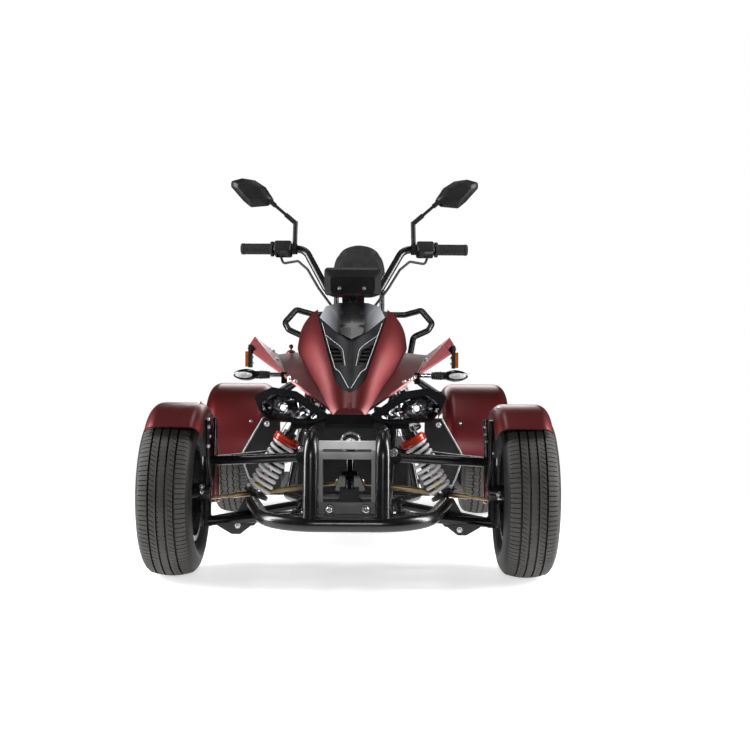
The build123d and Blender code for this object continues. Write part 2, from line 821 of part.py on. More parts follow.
insert_proud = 1.5
flange_wall = 3
flange_at = cowl_wall + seat_gap
skin = nose_form(flange_at, cowl_lip)
insert = (nose_form(insert_proud, cowl_lip) - skin) & front_prism(insert_view)
insert = Part() + insert.solids().sort_by(SortBy.VOLUME)[-1]
flange = (skin - nose_form(flange_at + flange_wall, cowl_lip + 60)) & front_prism(flange_view)
insert += flange.solids().sort_by(SortBy.VOLUME)[-1]
for side in (-1, 1):
    insert -= front_prism([(side * x, z) for x, z in grille_view])
keep("nose_insert", insert)

grille_wall = 3
grille_at = flange_at + flange_wall + seat_gap
slat_pitch = 11
slat_gap = 6
slat_low = 590
slat_count = 6
back_layer = nose_form(grille_at, cowl_lip) - nose_form(grille_at + grille_wall, cowl_lip + 60)
grille = back_layer & front_prism([(74, 664), (26, 642), (14, 588), (56, 592)])
for k in range(slat_count):
    low = slat_low + k * slat_pitch
    slot = front_prism([(0, low), (90, low), (90, low + slat_gap), (0, low + slat_gap)])
    grille -= slot & front_prism([(70, 654), (31, 636), (20, 594), (53, 600)])
keep("nose_grilles", grille, twin(grille))

hood_sections = (
    # y from the front axle, ridge z, band half width, band z, rim x, rim z
    (80, 645, 28, 643, 92, 619),
    (160, 709, 38, 706, 113, 681),
    (262, 781, 47, 778, 121, 755),
)
hood_rings = []
for y, ridge_z, band_half, band_z, rim_x, rim_z in hood_sections:
    facets = both_sides([(0, ridge_z), (band_half, band_z), (rim_x, rim_z), (rim_x, rim_z - 60)])
    hood_rings.append(Plane.XZ.offset(-fa(y)) * make_face(Polyline(*facets, close=True)))
hood = (loft(hood_rings, ruled=True) - nose_form(cowl_wall, cowl_lip + 60)) & front_prism(hood_view)
hood = hood.solids().sort_by(SortBy.VOLUME)[-1]
keep("nose_hood", hood)


# Side wings: faceted panels that run out and up from the cowl's edge
def facet_panel(corners, facets, drop):
    """Flat facets between named corners, given thickness downwards."""
    panel = Part()
    for names in facets:
        panel += extrude(make_face(Polyline(*[corners[n] for n in names], close=True)), drop, dir=(0, 0, -1))
    return panel


wing_corners = {
    "nose": (40, fa(-104), 466),
    "front": (180, fa(20), 560),
    "tip": (292, fa(220), 675),
    "outer": (311, fa(200), 642),
    "rear": (225, fa(258), 621),
    "inner": (140, fa(165), 606),
    "heel": (158, fa(258), 628),
}
wing_facets = (
    ("nose", "front", "inner"),
    ("front", "rear", "inner"),
    ("front", "tip", "rear"),
    ("front", "outer", "tip"),
    ("inner", "rear", "heel"),
)
wing_drop = 7
nose_outside = nose_form(-seat_gap, cowl_lip + seat_gap)
wing = facet_panel(wing_corners, wing_facets, wing_drop) - nose_outside
wing = wing.solids().sort_by(SortBy.VOLUME)[-1]
keep("side_wings", wing, twin(wing))

# Headlamps: leaf-shaped shells set back along the nose, joined by a chin under the tip
lamp_sweep = 30
lamp_plane = Plane(
    origin=(150, fa(-66), 484),
    x_dir=(cos(radians(lamp_sweep)), sin(radians(lamp_sweep)), 0),
    z_dir=(sin(radians(lamp_sweep)), -cos(radians(lamp_sweep)), 0),
)
lamp_outline = ((140, 22), (78, 48), (-5, 38), (-118, -30), (-50, -49), (90, -49), (122, -18))
lens_outline = ((118, 0), (78, 27), (8, 20), (-92, -36), (-46, -43), (86, -43), (111, -22))
lamp_corner = 9
lamp_depth = 46
lens_depth = 10
lamp_shelf = 6
lamp_pocket = 34
projector_at = (48, -9.5)


def lamp_leaf(outline, inset=0):
    leaf_face = fillet(make_face(Polyline(*outline, close=True)).vertices(), lamp_corner)
    return offset(leaf_face, -inset) if inset else leaf_face


lamp_shell = loft([lamp_leaf(lamp_outline), Pos(0, 0, -lamp_depth) * lamp_leaf(lamp_outline, 16)])
lamp_shell -= Pos(0, 0, -lamp_pocket) * extrude(lamp_leaf(lens_outline, lamp_shelf), lamp_pocket)
lamp_shell -= Pos(0, 0, -lens_depth) * extrude(lamp_leaf(lens_outline), 2 * lens_depth)
lamp_shell = lamp_plane * lamp_shell
chin = plate(Plane.XZ.offset(-fa(-84)), [(-66, 435), (66, 435), (58, 462), (-58, 462)], 41)
lamps = lamp_shell + twin(lamp_shell) + chin
lamps -= nose_outside
lamps -= wing
lamps -= twin(wing)
keep("headlamp_housings", *[s for s in lamps.solids() if s.volume > 5000])

lens = lamp_plane * (Pos(0, 0, seat_gap - lens_depth) * extrude(lamp_leaf(lens_outline, seat_gap), 6))
lens -= nose_outside
keep("headlamp_lenses", lens, twin(lens))
bowl = Pos(projector_at[0], projector_at[1], -lamp_pocket + seat_gap) * Cylinder(
    24, 12, align=on_base
)
bowl += Pos(projector_at[0], projector_at[1], -lamp_pocket + seat_gap) * Cylinder(
    17, 20, align=on_base
)
bowl = lamp_plane * bowl
keep("headlamp_projectors", bowl, twin(bowl))

# Turn signals on short stalks under the wings, and the side reflectors
signal_y = fa(46)
signal_z = 564
stalk = bar((196, signal_y, signal_z), (266, signal_y, signal_z), 6)
stalk += bar((240, signal_y, signal_z), (274, signal_y, signal_z), 11)
stalk += block((182, signal_y - 14, signal_z - 24), (197, signal_y + 14, signal_z + 9))
stalk -= wing
signal_half = [
    Line((264, 0), (264, 6)),
    ThreePointArc((264, 6), (298, 17), (334, 5)),
    Line((334, 5), (334, 0)),
    Line((334, 0), (264, 0)),
]
signal = Pos(0, signal_y, signal_z) * revolve(make_face(signal_half), axis=Axis.X)
front_cut = Pos(364, signal_y - 102, signal_z) * Box(200, 200, 200)
lens_cut = Pos(364 + seat_gap, signal_y - 102 - seat_gap, signal_z) * Box(200, 200, 200)
stalk = (stalk - front_cut) + (signal - front_cut)
stalk -= wing
stalk = stalk.solids().sort_by(SortBy.VOLUME)[-1]
keep("turn_signal_stalks", stalk, twin(stalk))
signal_lens = signal & lens_cut
keep("turn_signal_lenses", signal_lens, twin(signal_lens))

reflector_x = 307
reflector = block((reflector_x, fa(178), 584), (reflector_x + 9, fa(214), 630))
reflector_back = block((reflector_x - 9, fa(174), 582), (reflector_x - seat_gap, fa(218), 650)) - wing
keep("side_reflectors", reflector, twin(reflector))
back_piece = reflector_back.solids().sort_by(SortBy.VOLUME)[-1]
keep("reflector_brackets", back_piece, twin(back_piece))

# Ignition lock beside the cowl on the rider's right
lock = bar((-188, fa(286), 560), (-188, fa(286), 652), 18)
keep("ignition_lock", lock)

# Cover between the column and the seat
cover_table = (
    # y from the front axle, half width, top z, floor z
    (322, 88, 716, 604),
    (400, 108, 730, 598),
    (448, 118, 706, 596),
)
cover_rings = []
for y, half, top, low in cover_table:
    ring = Pos(0, (top + low) / 2) * Rectangle(2 * half, top - low)
    cover_rings.append(Plane.XZ.offset(-fa(y)) * fillet(ring.vertices(), 30))
keep("tank_cover", loft(cover_rings))

# Tail body under the seat
tail_table = (
    # y from the front axle, half width, top z, floor z
    (452, 166, 640, 536),
    (wheelbase - 100, 170, 648, 598),
    (wheelbase + 186, 146, 656, 612),
)
tail_wall = 6


def tail_form(inset, deep, shift):
    rings = []
    for k, (y, half, top, low) in enumerate(tail_table):
        high = top - low - inset + deep
        ring = Pos(0, low - deep) * Rectangle(2 * (half - inset), high, align=(Align.CENTER, Align.MIN))
        ring = fillet(ring.vertices().group_by(Axis.Y)[-1], 18 - inset)
        rings.append(Plane.XZ.offset(-fa(y + (shift[k]))) * ring)
    return loft(rings, ruled=True)


tail = tail_form(0, 0, (0, 0, 0)) - tail_form(tail_wall, 30, (0, 0, -tail_wall))
keep("tail_cowl", tail)

# Seat: a long stepped cushion
seat_half = 142
seat_profile = (
    # y from the front axle, z
    (455, 640.1),
    (450, 692),
    (520, 716),
    (880, 718),
    (960, 772),
    (wheelbase + 110, 776),
    (wheelbase + 138, 730),
    (wheelbase + 134, 654.6),
    (wheelbase - 100, 648),
)
seat_outline = [(fa(y), z) for y, z in seat_profile]
seat_face = Plane.YZ.offset(-seat_half) * make_face(Polyline(*seat_outline, close=True))
seat = extrude(seat_face, 2 * seat_half)
seat = Pos(0, 0, seat_gap) * fillet([e for e in seat.edges() if e.center().Z > 680], 18)
keep("seat", seat)

# Rear rails: grab loops joined behind the seat, and two posts for the backrest
rail_tube = 12
rail_y = ra(168)
rail_top_z = 774
loop_half = [
    (142, ra(40), 582),
    (200, ra(38), 592),
    (216, ra(38), 684),
    (274, ra(40), 710),
    (291, ra(60), 738),
    (249, ra(110), 791),
    (184, rail_y, rail_top_z),
]
loop = loop_half + [(-x, y, z) for x, y, z in reversed(loop_half)]
rails = tube(loop, rail_tube, 22)
post_x = 92
post_y = rail_y
post_radius = 10
post_top = 960
for side in (-1, 1):
    rails += bar((side * post_x, post_y, rail_top_z), (side * post_x, post_y, post_top), post_radius)
keep("rear_rails", rails)

backrest_half = 110
backrest_corner = 104
backrest_depth = 46
backrest_low = 852
backrest_high = 1056
backrest = Pos(0, 0, backrest_low) * Box(
    2 * backrest_half, backrest_depth, backrest_high - backrest_low, align=on_base
)
backrest = fillet(backrest.edges().filter_by(Axis.Y).group_by(Axis.Z)[-1], backrest_corner)
backrest = fillet(backrest.edges().filter_by(Axis.Y).group_by(Axis.Z)[0], 24)
backrest = fillet(backrest.faces().sort_by(Axis.Y)[0].edges(), 14)
keep("backrest", Pos(0, post_y - post_radius - seat_gap - backrest_depth / 2, 0) * backrest)

# Battery box hung between the lower rails by its flanges
battery_half = 186
battery_low = 118
battery_high = 330
flange_height = 5
battery = block((-battery_half, fa(440), battery_low), (battery_half, ra(-430), battery_high), 16)
flange_z = rail_z + rail_radius + seat_gap
battery += block((-rail_wide_x - 8, fa(450), flange_z), (rail_wide_x + 8, ra(-440), flange_z + flange_height))
keep("battery_box", battery)

# Foot panels: toe boards behind the front wheels and floors between the wheels
panel_wall = 6
floor_z = rail_z + 9 + seat_gap
toe_plane = Plane(origin=(0, fa(345), floor_z), x_dir=(1, 0, 0), z_dir=(0, -1, -0.16))
toe_view = ((222, 0), (300, 0), (322, 44), (346, 128), (277, 246), (222, 246))
foot_panel = plate(toe_plane, toe_view, panel_wall, 6)
foot_panel += plate(
    Plane.XY.offset(floor_z),
    [(222, fa(342)), (300, fa(342)), (352, fa(420)), (352, ra(-320)), (222, ra(-320))],
    panel_wall,
    8,
)
keep("foot_panels", foot_panel, twin(foot_panel))

pedal_radius = 9
pedal_z = floor_z + panel_wall + pedal_radius + seat_gap
pedal = bar((-232, fa(430), pedal_z), (-262, fa(430), pedal_z), pedal_radius)
pedal += bar((-247, fa(430), floor_z + panel_wall + 9), (-247, fa(385), floor_z + 74), 6)
pedal += Pos(-247, fa(383), floor_z + 78) * Rot(60, 0, 0) * Box(64, 46, 8)
keep("brake_pedal", pedal)

# Swinging arm, drive axle with motor, tail lamps and plate holder
swing_pivot = (ra(-211), 262)
swing_radius = 16
axle_radius = 25
saddle_x = 178
swing = bar((-128, *swing_pivot), (128, *swing_pivot), swing_radius)
for side in (-1, 1):
    swing += bar((side * 108, *swing_pivot), (side * saddle_x, ra(-30), 240), swing_radius)
    inner, outer = sorted((side * (saddle_x - 16), side * (saddle_x + 16)))
    swing += block((inner, ra(-46), 196), (outer, ra(44), 268), 8)
    foot = damper_table[1][1]
    swing += bar((side * saddle_x, ra(10), 255), (side * foot[0], foot[1] + clevis_gap + 20, foot[2]), 8)
    swing += bar(
        (side * foot[0], foot[1] - clevis_gap - 8, foot[2]),
        (side * foot[0], foot[1] + clevis_gap + 20, foot[2]),
        shock_bolt_radius,
    )
swing -= bar((-300, ra(0), axle_z), (300, ra(0), axle_z), axle_radius + seat_gap)
keep("rear_swingarm", swing)

axle_half = 376
rear_spindle = rear_track / 2 + 20
diff_radius = 76
motor_radius = 70
axle = bar((-axle_half, ra(0), axle_z), (axle_half, ra(0), axle_z), axle_radius)
axle += bar((-rear_spindle, ra(0), axle_z), (rear_spindle, ra(0), axle_z), spindle_radius)
axle += bar((-62, ra(0), axle_z), (62, ra(0), axle_z), diff_radius)
axle += bar((-92, ra(-108), axle_z + 12), (92, ra(-108), axle_z + 12), motor_radius)
for side in (-1, 1):
    axle += bar((side * (axle_half - 14), ra(0), axle_z), (side * axle_half, ra(0), axle_z), 46)
keep("drive_axle", axle)

lamp_low = 618
lamp_high = 650
tail_lamp = block((66, ra(186 + seat_gap), lamp_low), (136, ra(206), lamp_high))
keep("tail_lamps", tail_lamp, twin(tail_lamp))

holder_y = ra(196)
holder_half = 74
holder_wall = 4
plate_hole_x = 60
plate_hole_z = 540
plate_hole_radius = 3.25
strap_half = 14
holder = block(
    (-holder_half, holder_y, plate_hole_z - strap_half),
    (holder_half, holder_y + holder_wall, plate_hole_z + strap_half),
)
for side in (-1, 1):
    inner, outer = sorted((side * 32, side * 48))
    holder += block((inner, holder_y, plate_hole_z), (outer, holder_y + holder_wall, 606))
    holder += bar((side * 40, ra(170) + brace_radius + seat_gap, 600), (side * 40, holder_y + 2, 600), 5)
    plate_hole = Pos(side * plate_hole_x, holder_y, plate_hole_z) * Rot(90, 0, 0)
    holder -= plate_hole * Cylinder(plate_hole_radius, 40)
keep("plate_holder", holder)

# Control cables from the switch housings along the bar to the column
cable_radius = 4
cable_start = bar_tip * Pos(0, 0, housing_to - 20)
cable_first = cable_start.position + Vector(0, -4, -housing_half - 1.2)
cable_points = [
    tuple(cable_first),
    tuple(cable_first + Vector(-8, -4, -22)),
    (176, fa(398), 914),
    (144, fa(374), 886),
    (108, fa(344), 826),
    (60, fa(318), 762),
]
cable = tube(cable_points, cable_radius, 12)
keep("control_cables", cable, twin(cable))

# Frame fittings: pivot shafts, damper brackets, outriggers and stays, welded on
arm_pivots = (
    (upper_pivot_x, upper_pivot_z, upper_spread),
    (lower_pivot_x, lower_pivot_z, lower_spread),
)
for pivot_x, pivot_z, spread in arm_pivots:
    reach = spread + bush_length / 2 + 22
    for side in (-1, 1):
        front, rear = [(side * pivot_x, fa(y), pivot_z) for y in (-reach, reach)]
        frame += bar(front, rear, pivot_radius)
for side in (-1, 1):
    tab = block((84, fa(-62), upper_pivot_z - 12), (upper_pivot_x + 9, fa(-54), upper_pivot_z + 12))
    rear_tab = Part()
    for y in (-lower_spread - bush_length / 2 - 14, lower_spread + bush_length / 2 + 6):
        tab_far = (lower_pivot_x + 9, fa(y + 8), lower_pivot_z + 10)
        rear_tab += block((rail_front_x, fa(y), lower_pivot_z - 14), tab_far)
    for lean in (-1, 1):
        y = shock_y + lean * clevis_gap + (0 if lean < 0 else clevis_thickness)
        tab += plate(
            Plane.XZ.offset(-y),
            [
                (84, 412),
                (84, 444),
                (shock_head_x + 8, shock_head_z + 16),
                (shock_head_x + 14, shock_head_z - 12),
            ],
            clevis_thickness,
        )
    tab += bar(
        (shock_head_x, shock_y - clevis_gap - 9, shock_head_z),
        (shock_head_x, shock_y + clevis_gap + 9, shock_head_z),
        shock_bolt_radius,
    )
    top = damper_table[1][2]
    pin_from = (top[0], top[1] - clevis_gap - 9, top[2])
    tab += bar(pin_from, (top[0], top[1] + clevis_gap + 26, top[2]), shock_bolt_radius)
    rise_y = top[1] + clevis_gap + 20
    tab += bar((top[0], rise_y, top[2]), (top[0] - 8, rise_y, top[2] + 40), 9)
    for y in (fa(470), fa(790)):
        tab += bar((rail_wide_x, y, rail_z), (334, y, rail_z), 9)
    tab += bar((upper_hip[0], upper_hip[1], upper_hip[2]), (rear_fender_inner - 4, ra(-70), 462), 9)
    tab += bar((upper_tail[0], ra(120), 598), (rear_fender_inner - 4, ra(90), 440), 9)
    frame += (tab + rear_tab) if side > 0 else twin(tab + rear_tab)
    for y, z in ((-70, 462), (90, 440)):
        low = (rear_fender_inner - 14, ra(y - 13), z - 13)
        high = (rear_fender_inner - seat_gap, ra(y + 13), z + 13)
        frame += block(low, high) if side > 0 else twin(block(low, high))
    lug_low = (upright_x - 13, upright_end_y + seat_gap, upright_top_z - 13)
    lug_high = (upright_x + 13, upper_front[1], upright_top_z + 13)
    frame += block(lug_low, lug_high) if side > 0 else twin(block(lug_low, lug_high))
    lamp_pad = lamp_plane * bar((-40, -15, -lamp_depth - seat_gap), (-40, -15, -lamp_depth - 36), 9)
    pad_foot = lamp_plane * Pos(-40, -15, -lamp_depth - 28)
    lamp_pad += bar(tuple(pad_foot.position), (pad_foot.position.X, upper_front[1], upper_front[2]), 8)
    frame += lamp_pad if side > 0 else twin(lamp_pad)
rest_table = (
    # y, low z, high z of the blocks that carry the cover and the tail body
    (fa(420), 548, 597 - seat_gap),
    (ra(-100), 585, 648 - tail_wall - 1.5 * seat_gap),
    (ra(170), 600, 655.5 - tail_wall - 1.5 * seat_gap),
)
for y, low, high in rest_table:
    frame += block((-40, y - 7, low), (40, y + 7, high))
frame += bar((-127, fa(288), 527), (-188, fa(288), 552), 8)
frame += block((-204, fa(272), 550), (-172, fa(304), 560 - seat_gap))
frame += pedestal
keep("main_frame", frame)

os.makedirs("parts", exist_ok=True)
for name, solids in nodes.items():
    export_step(Compound(solids) if len(solids) > 1 else solids[0], f"parts/{name}.step")
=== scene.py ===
from math import atan2, cos, pi, radians, sin

import bpy
from mathutils import Matrix, Vector


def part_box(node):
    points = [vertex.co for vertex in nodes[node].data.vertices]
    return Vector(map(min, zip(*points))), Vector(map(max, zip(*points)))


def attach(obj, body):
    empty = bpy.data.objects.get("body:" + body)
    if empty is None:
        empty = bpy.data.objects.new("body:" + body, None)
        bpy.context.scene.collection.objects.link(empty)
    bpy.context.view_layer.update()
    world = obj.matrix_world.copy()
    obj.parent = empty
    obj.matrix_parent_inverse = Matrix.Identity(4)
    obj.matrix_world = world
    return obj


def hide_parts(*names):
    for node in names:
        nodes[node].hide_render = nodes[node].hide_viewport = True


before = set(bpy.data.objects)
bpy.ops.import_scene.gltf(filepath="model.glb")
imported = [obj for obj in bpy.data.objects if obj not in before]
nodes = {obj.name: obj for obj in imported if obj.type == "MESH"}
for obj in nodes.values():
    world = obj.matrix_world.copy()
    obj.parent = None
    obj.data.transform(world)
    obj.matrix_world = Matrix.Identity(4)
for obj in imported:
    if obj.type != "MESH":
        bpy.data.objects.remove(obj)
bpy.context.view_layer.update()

# The studio: a pale floor that fades into a white surround, two long soft boxes
# beside the bike, a faint strip overhead, a small box by the camera and one behind.
front_axle = Vector((0, -0.565, 0.232))
rear_axle = Vector((0, 0.705, 0.232))
camera_distance = 3.3
camera_offset = 0.078
camera_height = 0.648
focal_pixels = 1173
photo_pixels = 750
principal_right = 3
principal_up = 29
camera_roll = radians(0.35)

bpy.ops.object.select_all(action="DESELECT")
bpy.ops.object.camera_add(location=(camera_offset, front_axle.y - camera_distance, camera_height))
camera = bpy.context.object
look = Vector((-principal_right / focal_pixels, 1, -principal_up / focal_pixels))
roll = Matrix.Rotation(camera_roll, 3, "Z").to_quaternion()
camera.rotation_euler = (look.to_track_quat("-Z", "Y") @ roll).to_euler()
camera.data.sensor_width = 36
camera.data.lens = focal_pixels / photo_pixels * camera.data.sensor_width
camera.data.clip_end = 200
bpy.context.scene.camera = camera


def set_sockets(node, **settings):
    """Sets a shader node's sockets by name, with _ for each space."""
    for socket, value in settings.items():
        node.inputs[socket.replace("_", " ")].default_value = value
    return node


def add_node(tree, kind, **settings):
    """A new shader node with its sockets set."""
    return set_sockets(tree.nodes.new(f"ShaderNode{kind}"), **settings)


def add_ramp(tree, stops):
    """A colour ramp with its (share, colour) stops."""
    ramp = add_node(tree, "ValToRGB")
    elements = ramp.color_ramp.elements
    for share, _ in stops[1:-1]:
        elements.new(share)
    for element, (share, colour) in zip(elements, stops):
        element.position = share
        element.color = (*colour, 1)
    return ramp


white = (1, 1, 1, 1)
floor_drop = 0.0005
bpy.ops.mesh.primitive_plane_add(size=6, location=(0, 0, -floor_drop))
floor = bpy.context.object
floor.name = "studio_floor"
floor_paint = bpy.data.materials.new("studio_floor_paint")
floor_paint.use_nodes = True
floor_tree = floor_paint.node_tree
floor_shader = floor_tree.nodes["Principled BSDF"]
set_sockets(floor_shader, Roughness=0.9, Emission_Color=white, Emission_Strength=0.62)
floor_noise = add_node(floor_tree, "TexNoise", Scale=0.7)
floor_tone = add_ramp(floor_tree, ((0, (0.8, 0.8, 0.8)), (1, (0.84, 0.84, 0.84))))
floor_place = add_node(floor_tree, "TexCoord")
floor_reach = add_node(floor_tree, "VectorMath")
floor_reach.operation = "LENGTH"
floor_fade = add_node(floor_tree, "MapRange", From_Min=1.1, From_Max=2.3)
floor_fade.interpolation_type = "SMOOTHSTEP"
floor_clear = add_node(floor_tree, "BsdfTransparent")
floor_mix = add_node(floor_tree, "MixShader")
floor_link = floor_tree.links.new
floor_link(floor_noise.outputs["Fac"], floor_tone.inputs["Fac"])
floor_link(floor_tone.outputs["Color"], floor_shader.inputs["Base Color"])
floor_link(floor_place.outputs["Object"], floor_reach.inputs[0])
floor_link(floor_reach.outputs["Value"], floor_fade.inputs["Value"])
floor_link(floor_fade.outputs["Result"], floor_mix.inputs["Fac"])
floor_link(floor_shader.outputs["BSDF"], floor_mix.inputs[1])
floor_link(floor_clear.outputs["BSDF"], floor_mix.inputs[2])
floor_link(floor_mix.outputs["Shader"], floor_tree.nodes["Material Output"].inputs["Surface"])
floor.data.materials.append(floor_paint)

surround = bpy.data.worlds.new("studio_surround")
surround.use_nodes = True
surround_tree = surround.node_tree
surround_light = set_sockets(surround_tree.nodes["Background"], Color=white, Strength=0.04)
surround_white = add_node(surround_tree, "Background", Color=white, Strength=1.0)
ray_kind = add_node(surround_tree, "LightPath")
surround_mix = add_node(surround_tree, "MixShader")
surround_link = surround_tree.links.new
surround_link(ray_kind.outputs["Is Camera Ray"], surround_mix.inputs["Fac"])
surround_link(surround_light.outputs["Background"], surround_mix.inputs[1])
surround_link(surround_white.outputs["Background"], surround_mix.inputs[2])
surround_link(surround_mix.outputs["Shader"], surround_tree.nodes["World Output"].inputs["Surface"])
bpy.context.scene.world = surround
bpy.context.scene.view_settings.view_transform = "Standard"

light_table = (
    # name, place, aim, width, height, watts
    ("left_box", (-2.4, -0.5, 1.45), (0, -0.5, 0.6), 0.7, 2.5, 125),
    ("right_box", (2.4, -0.5, 1.45), (0, -0.5, 0.6), 0.7, 2.5, 125),
    ("overhead_box", (0, 0.4, 3.0), (0, 0, 0.4), 0.5, 2.2, 7),
    ("front_box", (0.1, -3.7, 1.5), (0, -0.2, 0.45), 0.5, 0.35, 22),
    ("back_box", (0, 3.6, 1.9), (0, 0.3, 0.6), 2.4, 0.8, 24),
)
for name, place, aim, width, height, watts in light_table:
    bpy.ops.object.light_add(type="AREA", location=place)
    box_light = bpy.context.object
    box_light.name = name
    box_light.data.shape = "RECTANGLE"
    box_light.data.size = width
    box_light.data.size_y = height
    box_light.data.energy = watts
    box_light.rotation_euler = (Vector(aim) - Vector(place)).to_track_quat("-Z", "Y").to_euler()


# Welded tubes: frame, bumper, wishbones, swinging arm, column, handlebar and
# rails. Steel tube under satin black powder coat, with the coat's fine orange peel.
def paint(
    name, dark, light, roughness, metallic=0.0, grain=60.0, peel=900.0, bump=0.02, coat=0.0,
    coat_roughness=0.08, spread=0.08, shine=0.5, **other_sockets,
):
    """A finish with slow colour drift, uneven gloss and a fine surface texture."""
    material = bpy.data.materials.new(name)
    material.use_nodes = True
    tree = material.node_tree
    shader = tree.nodes["Principled BSDF"]
    set_sockets(shader, Metallic=metallic, Coat_Weight=coat, Coat_Roughness=coat_roughness)
    set_sockets(shader, Specular_IOR_Level=shine, **other_sockets)
    place = add_node(tree, "TexCoord")
    drift = add_node(tree, "TexNoise", Scale=grain, Detail=4)
    tone = add_ramp(tree, ((0.35, dark), (0.7, light)))
    tone.name = "tone"
    smoothest = max(0.02, roughness - spread)
    gloss = add_node(tree, "MapRange", To_Min=smoothest, To_Max=roughness + spread)
    fine = add_node(tree, "TexNoise", Scale=peel, Detail=2)
    relief = add_node(tree, "Bump", Strength=bump, Distance=0.001)
    link = tree.links.new
    link(place.outputs["Object"], drift.inputs["Vector"])
    link(place.outputs["Object"], fine.inputs["Vector"])
    link(drift.outputs["Fac"], tone.inputs["Fac"])
    link(tone.outputs["Color"], shader.inputs["Base Color"])
    link(drift.outputs["Fac"], gloss.inputs["Value"])
    link(gloss.outputs["Result"], shader.inputs["Roughness"])
    link(fine.outputs["Fac"], relief.inputs["Height"])
    link(relief.outputs["Normal"], shader.inputs["Normal"])
    return material


def dress(material, *names):
    """Paints CAD nodes, and lets their curved faces shade smoothly up to their real edges."""
    for node_name in names:
        node = nodes[node_name]
        node.data.materials.clear()
        node.data.materials.append(material)
        node.data.polygons.foreach_set("use_smooth", [True] * len(node.data.polygons))
        weld = node.modifiers.new("merge", "WELD")
        weld.merge_threshold = 0.00002
        edges = node.modifiers.new("edges", "EDGE_SPLIT")
        edges.split_angle = radians(28)


powder_black = paint(
    "powder_black", (0.004, 0.004, 0.0045), (0.008, 0.008, 0.0085), 0.25, grain=25, peel=1400, bump=0.06,
)
dress(powder_black, "main_frame", "front_bumper", "upper_arms", "lower_arms", "rear_swingarm")
dress(powder_black, "steering_stem", "handlebar", "rear_rails", "knuckle_left", "knuckle_right")

# Bolts: bright zinc plated button heads on washers, used all over the bike.
# One is modelled at full size, then set where it sits on each piece.
bolt_steel = paint(
    "bolt_steel", (0.55, 0.55, 0.56), (0.78, 0.78, 0.79), 0.26, metallic=1.0, grain=120, spread=0.08,
)
bolt_radius = 0.006
head_height = 0.0045
head_middle = 0.0033
head_round = 0.0024
socket_radius = 0.002
washer_radius = bolt_radius * 1.45
washer_height = 0.0012


def pick_faces(piece, test):
    """Goes into edit mode with just the faces selected that pass a test."""
    bpy.ops.object.mode_set(mode="EDIT")
    bpy.ops.mesh.select_mode(type="FACE")
    bpy.ops.mesh.select_all(action="DESELECT")
    bpy.ops.object.mode_set(mode="OBJECT")
    for face in piece.data.polygons:
        face.select = test(face)
    bpy.ops.object.mode_set(mode="EDIT")


def add_rod(vertices, radius, depth, place=(0, 0, 0), turn=(0, 0, 0)):
    """A cylinder to start from, alone selected, with its place in its mesh."""
    bpy.ops.object.select_all(action="DESELECT")
    bpy.ops.mesh.primitive_cylinder_add(
        vertices=vertices, radius=radius, depth=depth, location=place, rotation=turn,
    )
    bpy.ops.object.transform_apply(location=True, rotation=True, scale=True)
    return bpy.context.object


def shape_bolt():
    """A domed head with a socket in its top, on a washer, its seat at z = 0."""
    head = add_rod(18, bolt_radius, head_height, (0, 0, head_middle))
    pick_faces(head, lambda face: face.normal.z > 0.9)
    bpy.ops.mesh.bevel(offset=head_round, segments=3, affect="EDGES")
    bpy.ops.object.mode_set(mode="OBJECT")
    pick_faces(head, lambda face: face.normal.z > 0.9 and face.center.xy.length < socket_radius)
    bpy.ops.mesh.inset(thickness=0.0012, depth=0)
    bpy.ops.mesh.inset(thickness=0.0001, depth=-0.002)
    bpy.ops.object.mode_set(mode="OBJECT")
    add_rod(20, washer_radius, washer_height, (0, 0, washer_height / 2))
    head.select_set(True)
    bpy.context.view_layer.objects.active = head
    bpy.ops.object.join()
    bpy.ops.object.shade_smooth_by_angle(angle=radians(35))
    return head


def settle(piece, name, material, body):
    """Names a finished piece, gives it its finish and sets it on its body."""
    piece.name = name
    piece.data.materials.clear()
    piece.data.materials.append(material)
    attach(piece, body)


def copy_of(pattern, place):
    """A copy of a modelled shape with its own mesh, set in its place by a matrix."""
    one = pattern.copy()
    one.data = pattern.data.copy()
    one.data.transform(place)
    bpy.context.collection.objects.link(one)
    return one


def set_copies(pattern, name, spots, material, body, size=1.0):
    """Copies of one modelled shape at (place, facing) spots, as one piece on a body."""
    bpy.ops.object.select_all(action="DESELECT")
    for place, facing in spots:
        turn = Vector(facing).to_track_quat("Z", "Y").to_matrix().to_4x4()
        one = copy_of(pattern, Matrix.Translation(place) @ turn @ Matrix.Scale(size, 4))
        one.select_set(True)
        bpy.context.view_layer.objects.active = one
    bpy.ops.object.join()
    settle(bpy.context.object, name, material, body)


def photo_spot(node_name, right, down):
    """Where a pixel of the photograph meets a piece, and the way its surface faces there."""
    across = (right - photo_pixels / 2 - principal_right) / focal_pixels
    fall = (down - photo_pixels / 2 + principal_up) / focal_pixels
    sight = Vector((across, 1, -fall)).normalized()
    met, place, facing, _ = nodes[node_name].ray_cast(camera.location, sight)
    if not met:
        depth = (Vector(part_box(node_name)[0]).y - camera.location.y) / sight.y
        _, place, facing, _ = nodes[node_name].closest_point_on_mesh(camera.location + sight * depth)
    return place, facing


